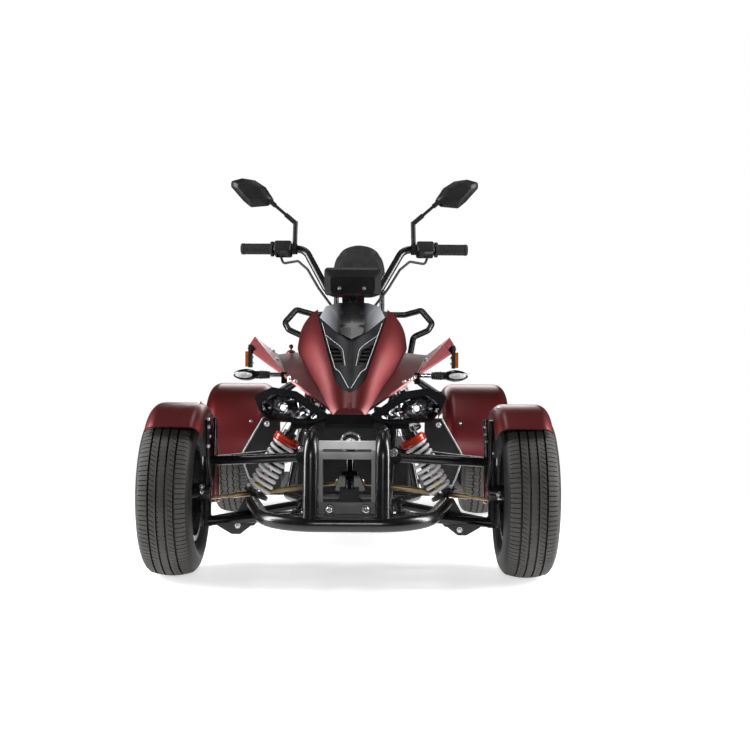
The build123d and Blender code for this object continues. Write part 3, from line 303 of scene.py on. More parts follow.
bpy.context.view_layer.update()
bolt_pattern = shape_bolt()
bolt_table = (
    # piece, body, node, size, pixels right and down
    ("wing_bolts", "chassis", "side_wings", 0.9,
     ((295.4, 381.6), (404.7, 381.6), (276.5, 359.6), (425.5, 359.8))),
    ("wing_edge_bolts", "chassis", "side_wings", 0.8,
     ((271, 346.5), (273, 351.5), (433, 346), (430, 351.5))),
    ("rear_fender_bolts", "chassis", "rear_fenders", 0.8, ((251, 422), (460.5, 423))),
    ("gusset_bolts", "chassis", "lower_arms", 0.9, ((238.1, 527), (460.8, 530))),
    ("fender_stay_bolts_right", "knuckle_right", "knuckle_right", 0.6,
     ((213, 421.5), (213, 429.5), (210, 437.5), (212, 449))),
    ("fender_stay_bolts_left", "knuckle_left", "knuckle_left", 0.6,
     ((485, 426), (485.5, 434), (487, 441), (493.5, 452.5))),
    ("knuckle_bolts_right", "knuckle_right", "knuckle_right", 1.0,
     ((193.6, 474.5), (195.5, 478.5), (202, 488), (202, 493.5))),
    ("knuckle_bolts_left", "knuckle_left", "knuckle_left", 1.0, ((499.5, 494), (500, 498))),
    ("panel_bolts", "chassis", "foot_panels", 1.0, ((267, 424.5), (439, 424.5))),
    ("fender_top_bolts_right", "knuckle_right", "front_fender_right", 0.9, ((200.5, 404.2),)),
    ("fender_top_bolts_left", "knuckle_left", "front_fender_left", 0.9, ((497.5, 407.5),)),
)
for piece_name, body, node_name, size, pixels in bolt_table:
    spots = [photo_spot(node_name, right, down) for right, down in pixels]
    set_copies(bolt_pattern, piece_name, spots, bolt_steel, body, size)


# Bulkhead: folded steel plates between the bumper's uprights, pale on top and
# darker below in painted shade, with a horn hung behind the top plate and two bolts on black washers.
def tint(material, mask):
    """Multiplies a finish's own colour by a ramp's."""
    tree = material.node_tree
    blend = add_node(tree, "Mix")
    blend.data_type = "RGBA"
    blend.blend_type = "MULTIPLY"
    blend.inputs[0].default_value = 1
    link = tree.links.new
    link(tree.nodes["tone"].outputs["Color"], blend.inputs[6])
    link(mask.outputs["Color"], blend.inputs[7])
    link(blend.outputs[2], tree.nodes["Principled BSDF"].inputs["Base Color"])


def shade_along(material, axis, low, high, stops, fold=False):
    """Multiplies a finish by colours that change along one axis of the bike."""
    tree = material.node_tree
    split = add_node(tree, "SeparateXYZ")
    span = add_node(tree, "MapRange", From_Min=low, From_Max=high)
    ramp = add_ramp(tree, stops)
    link = tree.links.new
    link(tree.nodes["Texture Coordinate"].outputs["Object"], split.inputs["Vector"])
    along = split.outputs[axis]
    if fold:
        size = add_node(tree, "Math")
        size.operation = "ABSOLUTE"
        link(along, size.inputs[0])
        along = size.outputs[0]
    link(along, span.inputs["Value"])
    link(span.outputs["Result"], ramp.inputs["Fac"])
    tint(material, ramp)


plate_grey = paint(
    "plate_grey", (0.8, 0.8, 0.8), (1, 1, 1), 0.4, metallic=0.35, grain=14, peel=700, bump=0.05,
)
# The plates get darker towards their foot: painted shade, multiplied over the grey.
plate_shade_tones = (
    (0.0, (0.13, 0.13, 0.13)), (0.19, (0.17, 0.17, 0.17)), (0.2, (0.24, 0.24, 0.245)),
    (0.73, (0.28, 0.28, 0.285)), (0.8, (0.34, 0.34, 0.34)), (0.87, (0.5, 0.5, 0.51)),
    (0.88, (0.85, 0.85, 0.86)), (1.0, (0.95, 0.95, 0.96)),
)
shade_along(plate_grey, "Z", 0.21, 0.405, plate_shade_tones)
dress(plate_grey, "front_bulkhead")
rubber_black = paint(
    "rubber_black", (0.006, 0.006, 0.006), (0.012, 0.012, 0.012), 0.6, grain=50, peel=900, bump=0.1,
)
bulkhead_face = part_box("front_bulkhead")[0][1]
bolt_stand = 0.002
plate_bolts = [photo_spot("front_bulkhead", right, 510) for right in (330.2, 366.7)]
set_copies(bolt_pattern, "bulkhead_washers", plate_bolts, rubber_black, "chassis", 1.55)
proud_bolts = [(place + facing * bolt_stand, facing) for place, facing in plate_bolts]
set_copies(bolt_pattern, "bulkhead_bolts", proud_bolts, bolt_steel, "chassis", 1.35)


def add_loop(places, fill="NOTHING"):
    """A closed line through places to start from, alone selected."""
    bpy.ops.object.select_all(action="DESELECT")
    bpy.ops.mesh.primitive_circle_add(vertices=len(places), fill_type=fill, radius=0.1)
    loop = bpy.context.object
    for vertex, place in zip(loop.data.vertices, places):
        vertex.co = place
    return loop


def edit_all():
    """Goes into edit mode with the whole of the active piece selected."""
    bpy.ops.object.mode_set(mode="EDIT")
    bpy.ops.mesh.select_all(action="SELECT")


def spin_profile(profile, segments, start, end):
    """A shape turned on a lathe: (along, radius) points spun about the line from start to end."""
    piece = add_loop([(radius, 0, along) for along, radius in profile])
    edit_all()
    bpy.ops.mesh.spin(steps=segments, angle=2 * pi, center=(0, 0, 0), axis=(0, 0, 1))
    bpy.ops.mesh.select_all(action="SELECT")
    bpy.ops.mesh.remove_doubles(threshold=0.00002)
    bpy.ops.mesh.normals_make_consistent(inside=False)
    bpy.ops.object.mode_set(mode="OBJECT")
    run = Vector(end) - Vector(start)
    piece.data.transform(Matrix.Translation(start) @ run.to_track_quat("Z", "Y").to_matrix().to_4x4())
    bpy.ops.object.shade_smooth_by_angle(angle=radians(32))
    return piece


def turned(name, profile, segments, start, end, material, body):
    """A turned piece with its finish, on its body."""
    piece = spin_profile(profile, segments, start, end)
    settle(piece, name, material, body)
    return piece


backwards = Vector((0, 0.1, 0))
pivot_profile = (
    (0, 0.0004), (0, 0.0095), (-0.0015, 0.011), (-0.004, 0.011), (-0.0045, 0.0105), (-0.0045, 0.0004),
)
pivot_pixels = ((302, 450.6), (393.7, 451))
for side_name, (right, down) in zip(("right", "left"), pivot_pixels):
    place, _ = photo_spot("upper_arms", right, down)
    label = f"pivot_washer_{side_name}"
    turned(label, pivot_profile, 28, place, place + backwards, bolt_steel, "chassis")
horn_black = paint("horn_black", (0.01, 0.01, 0.011), (0.02, 0.02, 0.021), 0.35, grain=40, metallic=0.3)
horn_x = 0.008
horn_z = 0.397
horn_face = bulkhead_face + 0.031
horn_at = Vector((horn_x, horn_face, horn_z))
horn_profile = (
    (0, 0.0005), (0, 0.009), (0.004, 0.012), (0.004, 0.02), (0.001, 0.0225), (0.001, 0.0255), (0.006, 0.0275),
    (0.014, 0.0275), (0.018, 0.024), (0.022, 0.015), (0.03, 0.013), (0.03, 0.0005),
)
turned("horn", horn_profile, 40, horn_at, horn_at + backwards, horn_black, "chassis")
ring_profile = (
    (-0.001, 0.0228), (-0.001, 0.0262), (0.0055, 0.0278), (0.0055, 0.0285), (-0.002, 0.0265),
    (-0.002, 0.0225),
)
turned("horn_ring", ring_profile, 40, horn_at, horn_at + backwards, bolt_steel, "chassis")
set_copies(bolt_pattern, "horn_cap", [(horn_at, (0, -1, 0))], bolt_steel, "chassis", 1.5)


def bent_wire(name, points, radius, material, body):
    """A round wire or strip of trim along points, made a mesh."""
    line = bpy.data.curves.new(name, "CURVE")
    line.dimensions = "3D"
    line.bevel_depth = radius
    line.bevel_resolution = 3
    line.use_fill_caps = True
    run = line.splines.new("NURBS")
    run.points.add(len(points) - 1)
    for knot, place in zip(run.points, points):
        knot.co = (*place, 1)
    run.order_u = 3
    run.use_endpoint_u = True
    run.resolution_u = 4
    wire = bpy.data.objects.new(name, line)
    bpy.context.collection.objects.link(wire)
    bpy.ops.object.select_all(action="DESELECT")
    wire.select_set(True)
    bpy.context.view_layer.objects.active = wire
    bpy.ops.object.convert(target="MESH")
    bpy.ops.object.shade_smooth()
    settle(bpy.context.object, name, material, body)


strap_y = bulkhead_face + 0.0165
strap_points = (
    (horn_x, horn_face + 0.022, horn_z), (horn_x, horn_face + 0.022, 0.382), (horn_x, strap_y + 0.012, 0.378),
)
bent_wire("horn_strap", strap_points, 0.003, horn_black, "chassis")

# Coil-over dampers: white lacquered springs round black bodies, with a red collar
# at the top seat, a bright rod, a yellow bump stop and thin adjuster rods above.
spring_white = paint("spring_white", (0.78, 0.78, 0.79), (0.9, 0.9, 0.91), 0.32, grain=30, coat=0.3)
damper_black = paint(
    "damper_black", (0.006, 0.006, 0.007), (0.014, 0.014, 0.015), 0.3, metallic=0.2, grain=40,
)
collar_red = paint(
    "collar_red", (0.62, 0.03, 0.012), (0.78, 0.06, 0.025), 0.3, metallic=0.3, grain=50, coat=0.4,
)
stop_yellow = paint(
    "stop_yellow", (0.62, 0.42, 0.03), (0.75, 0.55, 0.06), 0.5, grain=90, peel=700, bump=0.15,
)
rod_chrome = paint(
    "rod_chrome", (0.7, 0.7, 0.71), (0.85, 0.85, 0.86), 0.12, metallic=1.0, grain=60, spread=0.05,
)
dress(spring_white, "springs")
dress(damper_black, "dampers")
top_seat = 0.062
seat_height = 0.014
adjuster_length = 0.044
adjuster_circle = 0.0255
damper_ends = (
    # name, foot, head, on the rider's left
    ("front", (0.278, front_axle.y - 0.004, 0.205), (0.152, front_axle.y - 0.004, 0.43)),
    ("rear", (0.222, rear_axle.y + 0.018, 0.3), (0.14, rear_axle.y - 0.05, 0.552)),
)
collar_profile = (
    (-0.003, 0.0305), (-0.003, 0.0345), (0.001, 0.0372), (0.006, 0.0372), (0.0065, 0.0362), (0.0085, 0.0362),
    (0.009, 0.0372), (0.0145, 0.0372), (0.018, 0.0345), (0.018, 0.0205), (0.0142, 0.0205), (0.0142, 0.0362),
    (-0.0005, 0.0362), (-0.0005, 0.0305),
)
stop_profile = (
    (0.045, 0.0073), (0.045, 0.012), (0.048, 0.0135), (0.053, 0.0135), (0.055, 0.012), (0.058, 0.0135),
    (0.064, 0.0135), (0.067, 0.0115), (0.067, 0.0073),
)
band_profile = ((0.075, 0.0073), (0.075, 0.0105), (0.083, 0.0105), (0.083, 0.0073))
sleeve_profile = ((0.034, 0.0071), (0.034, 0.0076), (0.118, 0.0076), (0.118, 0.0071))


def ease_edges(offset, segments=1):
    """Bevels every edge of the active piece."""
    edit_all()
    bpy.ops.mesh.bevel(offset=offset, segments=segments, affect="EDGES")
    bpy.ops.object.mode_set(mode="OBJECT")


sides = (("left", 1), ("right", -1))
adjuster_pattern = add_rod(10, 0.0016, adjuster_length, (0, 0, adjuster_length / 2))
ease_edges(0.0005)
for end_name, foot, head in damper_ends:
    for side_name, side in sides:
        low = Vector((side * foot[0], foot[1], foot[2]))
        high = Vector((side * head[0], head[1], head[2]))
        along = (high - low).normalized()
        across = along.cross(Vector((0, 1, 0))).normalized()
        label = f"{end_name}_{side_name}"
        perch = high - along * top_seat
        turned(f"collar_{label}", collar_profile, 40, perch, high, collar_red, "chassis")
        turned(f"bump_stop_{label}", stop_profile, 28, low, high, stop_yellow, "chassis")
        turned(f"stop_band_{label}", band_profile, 24, low, high, collar_red, "chassis")
        turned(f"damper_rod_{label}", sleeve_profile, 24, low, high, rod_chrome, "chassis")
        spots = []
        for angle in (0.4, 2.5, 4.6):
            out = Matrix.Rotation(angle, 3, along) @ across * adjuster_circle
            spots.append((perch + along * (seat_height + 0.003) + out, along))
        set_copies(adjuster_pattern, f"adjusters_{label}", spots, rod_chrome, "chassis")
bpy.data.objects.remove(adjuster_pattern)

# Wheels: road tyres on black painted rims, with bright steel brake discs in front.
# Five ribs between four grooves: the front tread is straight, the rear grooves weave. The grooves are
# darkened with painted shade.
tyre_rubber = paint(
    "tyre_rubber", (0.052, 0.05, 0.0475), (0.072, 0.07, 0.066), 0.75, grain=18, peel=600,
    bump=0.12, shine=0.3,
)
# The darker rubber covers the sidewalls, and also the walls and floors of the grooves and sipes, where its
# darkness is painted shade.
side_and_groove_shade_rubber = paint(
    "side_and_groove_shade_rubber", (0.006, 0.006, 0.006), (0.011, 0.011, 0.0105), 0.5, grain=14, peel=700,
    bump=0.08, shine=0.35,
)
rim_black = paint("rim_black", (0.006, 0.006, 0.007), (0.012, 0.012, 0.013), 0.28, grain=22, coat=0.3)
disc_steel = paint("disc_steel", (0.42, 0.42, 0.43), (0.6, 0.6, 0.6), 0.28, metallic=1.0, grain=30)
tyre_low, tyre_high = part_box("tyre_front_left")
tyre_clearance = 0.0001
tyre_radius = (tyre_high[2] - tyre_low[2]) / 2 - tyre_clearance
tread_half = 0.055
shoulder_drop = 0.009
groove_depth = 0.007
groove_lean = 0.0008
sipe_depth = 0.004
rib_skin = 0.003
pitch_count = 106
pitch_steps = 6
rib_slant = 2.6
slant_from = 0.0135
slant_span = 0.018
grip_from = 0.208
grip_zone = 0.008
weave = 0.0022
weave_half = 0.045
rib_top_half = 0.0605
rib_top_skin = 0.0032
side_wall = (
    # half width, radius, from the bead out to the shoulder
    (0.044, 0.127), (0.0505, 0.1385), (0.056, 0.142), (0.0575, 0.145), (0.064, 0.152), (0.0715, 0.165),
    (0.0752, 0.178), (0.0757, 0.18), (0.0757, 0.183), (0.0748, 0.1845), (0.0725, 0.198), (0.068, 0.208),
    (0.0625, 0.216),
)
tread_grooves = ((0.0315, 0.0365), (0.009, 0.0135))
rib_marks = {0.009: 0.0058, 0.0315: 0.0185}
sipe_steps = (
    # from, to across the tread, step of the pitch that is cut
    (0.0366, 0.062, 0),
    (0.0185, 0.0314, 2),
    (0.0058, 0.0089, 4),
)


def corners(node_name):
    """A CAD node's lowest and highest corners."""
    return [Vector(corner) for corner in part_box(node_name)]


def crown(across):
    """The tread's radius at a distance from its middle."""
    return tyre_radius - shoulder_drop * (across / tread_half) ** 2


def shape_tyre(woven):
    """One pitch of the tread, cut by its sipes and spun round into a whole tyre about X."""
    half_section = [*side_wall, (tread_half, crown(tread_half))]
    for inner, outer in tread_grooves:
        half_section += [(outer, crown(outer)), (outer - groove_lean, crown(outer) - groove_depth)]
        half_section += [(inner + groove_lean, crown(inner) - groove_depth), (inner, crown(inner))]
        half_section.append((rib_marks[inner], crown(rib_marks[inner])))
    tyre_section = half_section + [(-across, radius) for across, radius in reversed(half_section)]
    pitch_angle = 2 * pi / pitch_count
    pattern = add_loop([(across, 0, radius) for across, radius in tyre_section])
    edit_all()
    bpy.ops.mesh.spin(steps=pitch_steps, angle=pitch_angle, center=(0, 0, 0), axis=(1, 0, 0))
    bpy.ops.object.mode_set(mode="OBJECT")

    def in_sipe(face):
        step = int(abs(atan2(face.center.y, face.center.z)) / pitch_angle * pitch_steps)
        across = abs(face.center.x)
        on_rib = face.center.yz.length > crown(across) - rib_skin
        return on_rib and any(low < across < high and step == cut for low, high, cut in sipe_steps)

    pick_faces(pattern, in_sipe)
    bpy.ops.mesh.inset(thickness=0.0002, depth=-sipe_depth)
    bpy.ops.mesh.select_all(action="SELECT")
    turn = 2 * pi - pitch_angle
    bpy.ops.mesh.spin(steps=pitch_count - 1, dupli=True, angle=turn, center=(0, 0, 0), axis=(1, 0, 0))
    bpy.ops.mesh.select_all(action="SELECT")
    bpy.ops.mesh.remove_doubles(threshold=0.00004)
    bpy.ops.mesh.normals_make_consistent(inside=False)
    bpy.ops.object.mode_set(mode="OBJECT")
    for vertex in pattern.data.vertices:
        grip = min(1, max(0, (vertex.co.yz.length - grip_from) / grip_zone))
        shift = min(max(abs(vertex.co.x) - slant_from, 0), slant_span) * (1 if vertex.co.x > 0 else -1)
        angle = atan2(vertex.co.y, vertex.co.z)
        vertex.co = Matrix.Rotation(grip * rib_slant * shift, 3, "X") @ vertex.co
        if woven and abs(vertex.co.x) < weave_half:
            vertex.co.x += grip * weave * sin(angle * pitch_count / 2)
    # Faces on the ribs' tops take the lighter rubber; all others take the darker one, which paints shade into
    # the grooves and sipes.
    for face in pattern.data.polygons:
        across = abs(face.center.x)
        rib_top = across < rib_top_half and face.center.yz.length > crown(across) - rib_top_skin
        face.material_index = 0 if rib_top else 1
    bpy.ops.object.shade_smooth_by_angle(angle=radians(32))
    return pattern


wheel_table = (
    # end of the bike, grooves that weave
    ("front", False),
    ("rear", True),
)
for end_name, woven in wheel_table:
    tyre_pattern = shape_tyre(woven)
    for side_name in ("left", "right"):
        wheel = f"{end_name}_{side_name}"
        low, high = corners(f"tyre_{wheel}")
        tyre = copy_of(tyre_pattern, Matrix.Translation((low + high) / 2))
        tyre.name = f"road_tyre_{wheel}"
        tyre.data.materials.append(tyre_rubber)
        tyre.data.materials.append(side_and_groove_shade_rubber)
        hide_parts(f"tyre_{wheel}")
        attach(tyre, f"wheel_{wheel}")
        dress(rim_black, f"rim_{wheel}")
    bpy.data.objects.remove(tyre_pattern)
dress(disc_steel, "brake_disc_left", "brake_disc_right")

# Tie rods: yellow zinc plated steel tubes, thin and bright at the threaded outer ends.
# Each turns on its pin of the column's pitman plate.
zinc_gold = paint("zinc_gold", (0.17, 0.125, 0.07), (0.3, 0.23, 0.14), 0.34, metallic=1.0, grain=35)
gold_tones = (
    (0.0, (2.2, 2.1, 1.9)), (0.08, (1, 1, 1)), (0.68, (1.1, 1.05, 1)), (0.74, (2.1, 2.1, 2.2)),
    (1.0, (2.2, 2.2, 2.3)),
)
shade_along(zinc_gold, "X", 0.03, 0.42, gold_tones, fold=True)
dress(zinc_gold, "tie_rod_left", "tie_rod_right")

# Drive axle: a cast alloy housing on the swinging arm, with the motor across it,
# bare and slightly rough from the mould.
cast_alloy = paint(
    "cast_alloy", (0.16, 0.16, 0.17), (0.26, 0.26, 0.27), 0.45, metallic=0.8, grain=30, peel=500, bump=0.2,
)
dress(cast_alloy, "drive_axle")

# Battery box: a moulded black case on the frame's rails, with upright ribs on all
# four sides. The plate holder and the brake pedal have the same finish.
moulded_black = paint(
    "moulded_black", (0.007, 0.007, 0.0075), (0.013, 0.013, 0.014), 0.5, grain=30, peel=1500,
    bump=0.15, shine=0.3,
)
dress(moulded_black, "battery_box", "plate_holder", "brake_pedal")
battery_low, battery_high = corners("battery_box")
case_half = 0.186
case_front = battery_low.y + 0.01
case_back = battery_high.y - 0.01


def add_block(size, place=(0, 0, 0)):
    """A box to start from, alone selected, with its size and place in its mesh."""
    bpy.ops.object.select_all(action="DESELECT")
    bpy.ops.mesh.primitive_cube_add(size=1, location=(0, 0, 0))
    block = bpy.context.object
    block.data.transform(Matrix.Translation(place) @ Matrix.Diagonal((*size, 1)))
    return block


rib_rise = 0.004
rib_z = 0.236
rib_gap = 0.05
end_ribs = 7
side_ribs = 8
rib_pattern = add_block((0.012, 0.15, 2 * rib_rise))
ease_edges(0.0025, 2)
rib_spots = []
for k in range(end_ribs):
    across = (k - end_ribs // 2) * rib_gap
    rib_spots.append(((across, case_front, rib_z), (0, -1, 0)))
    rib_spots.append(((across, case_back, rib_z), (0, 1, 0)))
for k in range(side_ribs):
    along = case_front + (case_back - case_front) * (k + 0.5) / side_ribs
    rib_spots.append(((case_half, along, rib_z), (1, 0, 0)))
    rib_spots.append(((-case_half, along, rib_z), (-1, 0, 0)))
set_copies(rib_pattern, "battery_ribs", rib_spots, moulded_black, "chassis")
bpy.data.objects.remove(rib_pattern)

# Foot panels: dark grey pressed boards, the toe boards edged with a pale strip,
# the floors with raised tread bars.
panel_grey = paint(
    "panel_grey", (0.018, 0.0185, 0.0195), (0.03, 0.031, 0.032), 0.45, grain=16, peel=1200,
    bump=0.12, shine=0.3,
)
trim_grey = paint("trim_grey", (0.3, 0.3, 0.31), (0.42, 0.42, 0.43), 0.4, metallic=0.5, grain=60)
dress(panel_grey, "foot_panels")
floor_z = 0.184
rise_share = 0.987
toe_edge = (
    (0.2755, 0.243), (0.297, 0.206), (0.327, 0.154), (0.3405, 0.13), (0.339, 0.112), (0.329, 0.08),
    (0.3175, 0.046), (0.298, 0.006),
)


def met_from_front(node_name, across, height):
    """Where a line straight back from ahead of the bike first meets a CAD node, if it does."""
    met, place, _, _ = nodes[node_name].ray_cast((across, -2, height), (0, 1, 0))
    return place if met else None


for side_name, side in sides:
    met = [met_from_front("foot_panels", side * x, floor_z + rise * rise_share) for x, rise in toe_edge]
    strip = [place for place in met if place is not None]
    bent_wire(f"toe_trim_{side_name}", strip, 0.0026, trim_grey, "chassis")
tread_count = 9
tread_gap = 0.055
tread_across = 0.288
tread_height = 0.003
first_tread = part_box("foot_panels")[1][1] - 0.05
bar_pattern = add_block((0.01, 0.09, tread_height), (0, 0, 0.35 * tread_height))
ease_edges(0.0012, 2)
bar_pattern.data.transform(Matrix.Rotation(pi / 2, 4, "Z"))
tread_spots = []
for k in range(tread_count):
    along = first_tread - k * tread_gap
    for side in (-1, 1):
        _, place, _, _ = nodes["foot_panels"].ray_cast((side * tread_across, along, 0.5), (0, 0, -1))
        tread_spots.append((place, (0, 0, 1)))
set_copies(bar_pattern, "floor_treads", tread_spots, panel_grey, "chassis")
bpy.data.objects.remove(bar_pattern)

# Body panels: moulded plastic under dark red metallic paint with a satin lacquer,
# which throws broad pale highlights along the shoulders.
body_red = paint(
    "body_red", (0.12, 0.002, 0.005), (0.155, 0.003, 0.0065), 0.42, metallic=0.85, grain=6, peel=2600,
    bump=0.03, coat=0.9, coat_roughness=0.31, spread=0.03,
)
dress(body_red, "nose_cowl", "side_wings", "tank_cover", "tail_cowl", "ignition_lock")
dress(body_red, "rear_fenders", "front_fender_left", "front_fender_right")

# Nose insert, grilles and hood: satin black mouldings let into the cowl, with
# thin white lines along the insert's edges and a crease down its middle. The hood's side facets grade from
# black to silver outwards, a painted reflection, and black sheets behind the grilles are painted shade.
insert_black = paint(
    "insert_black", (0.014, 0.0145, 0.016), (0.022, 0.0225, 0.025), 0.36, grain=16, peel=1600,
    bump=0.05, shine=0.3,
)
grille_black = paint(
    "grille_black", (0.003, 0.003, 0.003), (0.006, 0.006, 0.0065), 0.5, grain=40, peel=1500, bump=0.1,
)
# The hood is black along its middle and silver towards its sides: a painted reflection of the side lights.
hood_black = paint("hood_black", (0.85, 0.86, 0.88), (1, 1, 1), 0.22, grain=10, coat=0.5, spread=0.04)
hood_reflection_tones = (
    (0.0, (0.012, 0.012, 0.013)), (0.34, (0.005, 0.005, 0.0055)), (0.4, (0.03, 0.031, 0.033)),
    (0.62, (0.16, 0.165, 0.175)), (1.0, (0.5, 0.51, 0.53)),
)
shade_along(hood_black, "X", 0.0, 0.095, hood_reflection_tones, fold=True)
line_white = paint("line_white", (0.72, 0.72, 0.72), (0.85, 0.85, 0.85), 0.35, grain=80)
dress(insert_black, "nose_insert")
dress(grille_black, "nose_grilles", "reflector_brackets")
dress(hood_black, "nose_hood")


def nose_line(name, half_points, radius, material, step=0.007):
    """A line laid on the insert's face: half points in the front view, cast back onto it."""
    for side_name, side in sides:
        path = []
        for (x_from, z_from), (x_to, z_to) in zip(half_points, half_points[1:]):
            run = Vector((x_to - x_from, z_to - z_from))
            count = max(2, int(run.length / step))
            path += [(x_from + run.x * k / count, z_from + run.y * k / count) for k in range(count)]
        path.append(half_points[-1])
        met = [met_from_front("nose_insert", side * across, height) for across, height in path]
        laid = [place for place in met if place is not None]
        bent_wire(f"{name}_{side_name}", laid, radius, material, "chassis")


edge_line = ((0.0895, 0.7155), (0.044, 0.5845), (0.0295, 0.574), (0.0035, 0.531))
grille_line = ((0.0775, 0.68), (0.036, 0.65), (0.0235, 0.637), (0.0155, 0.592))
nose_line("insert_edge_line", edge_line, 0.0006, line_white)
nose_line("grille_line", grille_line, 0.0005, line_white)
crease_line = ((0.0004, 0.528), (0.0004, 0.66))
nose_line("insert_crease", crease_line, 0.0016, insert_black, 0.012)
grille_corners = ((0.072, 0.657), (0.029, 0.639), (0.018, 0.591), (0.055, 0.597))
grille_stand = 0.008


def face_out():
    """Turns every face of the active piece outwards."""
    edit_all()
    bpy.ops.mesh.normals_make_consistent(inside=False)
    bpy.ops.object.mode_set(mode="OBJECT")


# A thin black sheet just behind each grille darkens its openings: painted shade for the cowl's shaded inside.
for side_name, side in sides:
    bpy.ops.object.select_all(action="DESELECT")
    bpy.ops.mesh.primitive_grid_add(x_subdivisions=6, y_subdivisions=6, size=1)
    shade_sheet = bpy.context.object
    faces = [met_from_front("nose_grilles", side * x, z).y for x, z in grille_corners]
    for vertex in shade_sheet.data.vertices:
        s = vertex.co.x + 0.5
        t = vertex.co.y + 0.5
        shares = ((1 - s) * t, s * t, s * (1 - t), (1 - s) * (1 - t))
        across = side * sum(share * corner[0] for share, corner in zip(shares, grille_corners))
        height = sum(share * corner[1] for share, corner in zip(shares, grille_corners))
        depth = sum(share * face for share, face in zip(shares, faces))
        vertex.co = (across, depth + grille_stand, height)
    wall = shade_sheet.modifiers.new("wall", "SOLIDIFY")
    wall.thickness = 0.0006
    bpy.ops.object.modifier_apply(modifier="wall")
    face_out()
    settle(shade_sheet, f"grille_shade_sheet_{side_name}", grille_black, "chassis")

# Headlamps: gloss black shells under a thick brow, a faceted bright reflector and
# a round projector behind each clear lens. A plain apron hangs behind the bar between them.
piano_black = paint(
    "piano_black", (0.004, 0.004, 0.005), (0.007, 0.007, 0.008), 0.16, grain=10, coat=0.6, spread=0.03,
)
lens_clear = paint(
    "lens_clear", (0.9, 0.92, 0.94), (0.96, 0.97, 0.98), 0.04, grain=20, spread=0.015,
    Transmission_Weight=1.0, IOR=1.12,
)
reflector_chrome = paint(
    "reflector_chrome", (0.08, 0.08, 0.085), (0.4, 0.41, 0.42), 0.18, metallic=1.0, grain=90, spread=0.06,
)
projector_glass = paint(
    "projector_glass", (0.85, 0.87, 0.9), (0.95, 0.96, 0.98), 0.06, grain=30, spread=0.02,
    Emission_Color=white, Emission_Strength=0.7,
)
dress(piano_black, "headlamp_housings")
soft_edge = nodes["headlamp_housings"].modifiers.new("soft_edge", "BEVEL")
soft_edge.width = 0.004
soft_edge.segments = 3
soft_edge.limit_method = "ANGLE"
soft_edge.angle_limit = radians(35)
dress(lens_clear, "headlamp_lenses")
dress(reflector_chrome, "headlamp_projectors")
apron_half = 0.096
apron_top = 0.45
apron_foot = 0.379
apron_wall = 0.002
_, bar_back, _, _ = nodes["headlamp_housings"].ray_cast((0, 2, 0.442), (0, -1, 0))
apron_at = (0, bar_back.y + 0.0012, (apron_top + apron_foot) / 2)
apron = add_block((2 * apron_half, apron_wall, apron_top - apron_foot), apron_at)
ease_edges(0.0006)
settle(apron, "nose_apron", moulded_black, "chassis")
lamp_sweep = radians(30)
lamp_at = Vector((0.15, front_axle.y - 0.066, 0.484))
lamp_frame = Matrix((
    (cos(lamp_sweep), 0, sin(lamp_sweep), lamp_at.x),
    (sin(lamp_sweep), 0, -cos(lamp_sweep), lamp_at.y),
    (0, 1, 0, lamp_at.z),
    (0, 0, 0, 1),
))
lens_outline = (
    (0.118, 0), (0.078, 0.027), (0.008, 0.02), (-0.092, -0.036), (-0.046, -0.043), (0.086, -0.043),
    (0.111, -0.022),
)
lens_middle = -0.01
projector_at = Vector((0.048, -0.0095, 0))
projector_back = 0.0134
pocket_floor = -0.034
reflector_stand = 0.012
reflector_width = 0.93
reflector_rise = 0.86
reflector_shift = 0.001
facet_columns = 22
column_from, column_span, column_lean = -0.09, 0.206, 0.12
facet_rows = 6
row_from, row_span, row_lean = -0.043, 0.07, 0.1
bowl_depth = 0.008
bowl_radius = 0.05
bowl_slope = 0.03
ripple = 0.0022
reflector_edge = []
for across, rise in lens_outline:
    inset_rise = (rise - lens_middle) * reflector_rise + lens_middle
    inset_across = across * reflector_width + reflector_shift
    reflector_edge.append((inset_across, inset_rise, pocket_floor + reflector_stand))
reflector = add_loop(reflector_edge, "NGON")
bpy.ops.object.mode_set(mode="EDIT")
for k in range(1, facet_columns):
    cut = column_from + column_span * k / facet_columns
    lean = column_lean if k % 2 else -column_lean
    bpy.ops.mesh.select_all(action="SELECT")
    bpy.ops.mesh.bisect(plane_co=(cut, 0, 0), plane_no=(1, lean, 0))
for k in range(1, facet_rows):
    cut = row_from + row_span * k / facet_rows
    lean = row_lean if k % 2 else -row_lean
    bpy.ops.mesh.select_all(action="SELECT")
    bpy.ops.mesh.bisect(plane_co=(0, cut, 0), plane_no=(lean, 1, 0))
bpy.ops.mesh.select_all(action="SELECT")
bpy.ops.mesh.quads_convert_to_tris()
bpy.ops.object.mode_set(mode="OBJECT")
for vertex in reflector.data.vertices:
    near = (vertex.co.xy - projector_at.xy).length
    bowl = -bowl_depth * min(1, max(0, (bowl_radius - near) / bowl_slope))
    vertex.co.z += bowl + ripple * sin(vertex.co.x * 913 + vertex.co.y * 1471)
face_out()
thick = reflector.modifiers.new("wall", "SOLIDIFY")
thick.thickness = 0.0015
thick.offset = -1
bpy.ops.object.modifier_apply(modifier="wall")
flip_side = Matrix.Diagonal((-1, 1, 1, 1))
dome_profile = (
    (0.0, 0.0003), (0.0, 0.0088), (0.003, 0.0084), (0.0055, 0.0064), (0.0068, 0.0036), (0.0072, 0.0003),
)
ring_profile = (
    (0.0, 0.0136), (0.0, 0.0172), (0.002, 0.0178), (0.0045, 0.0172), (0.0055, 0.0155), (0.004, 0.0136),
)
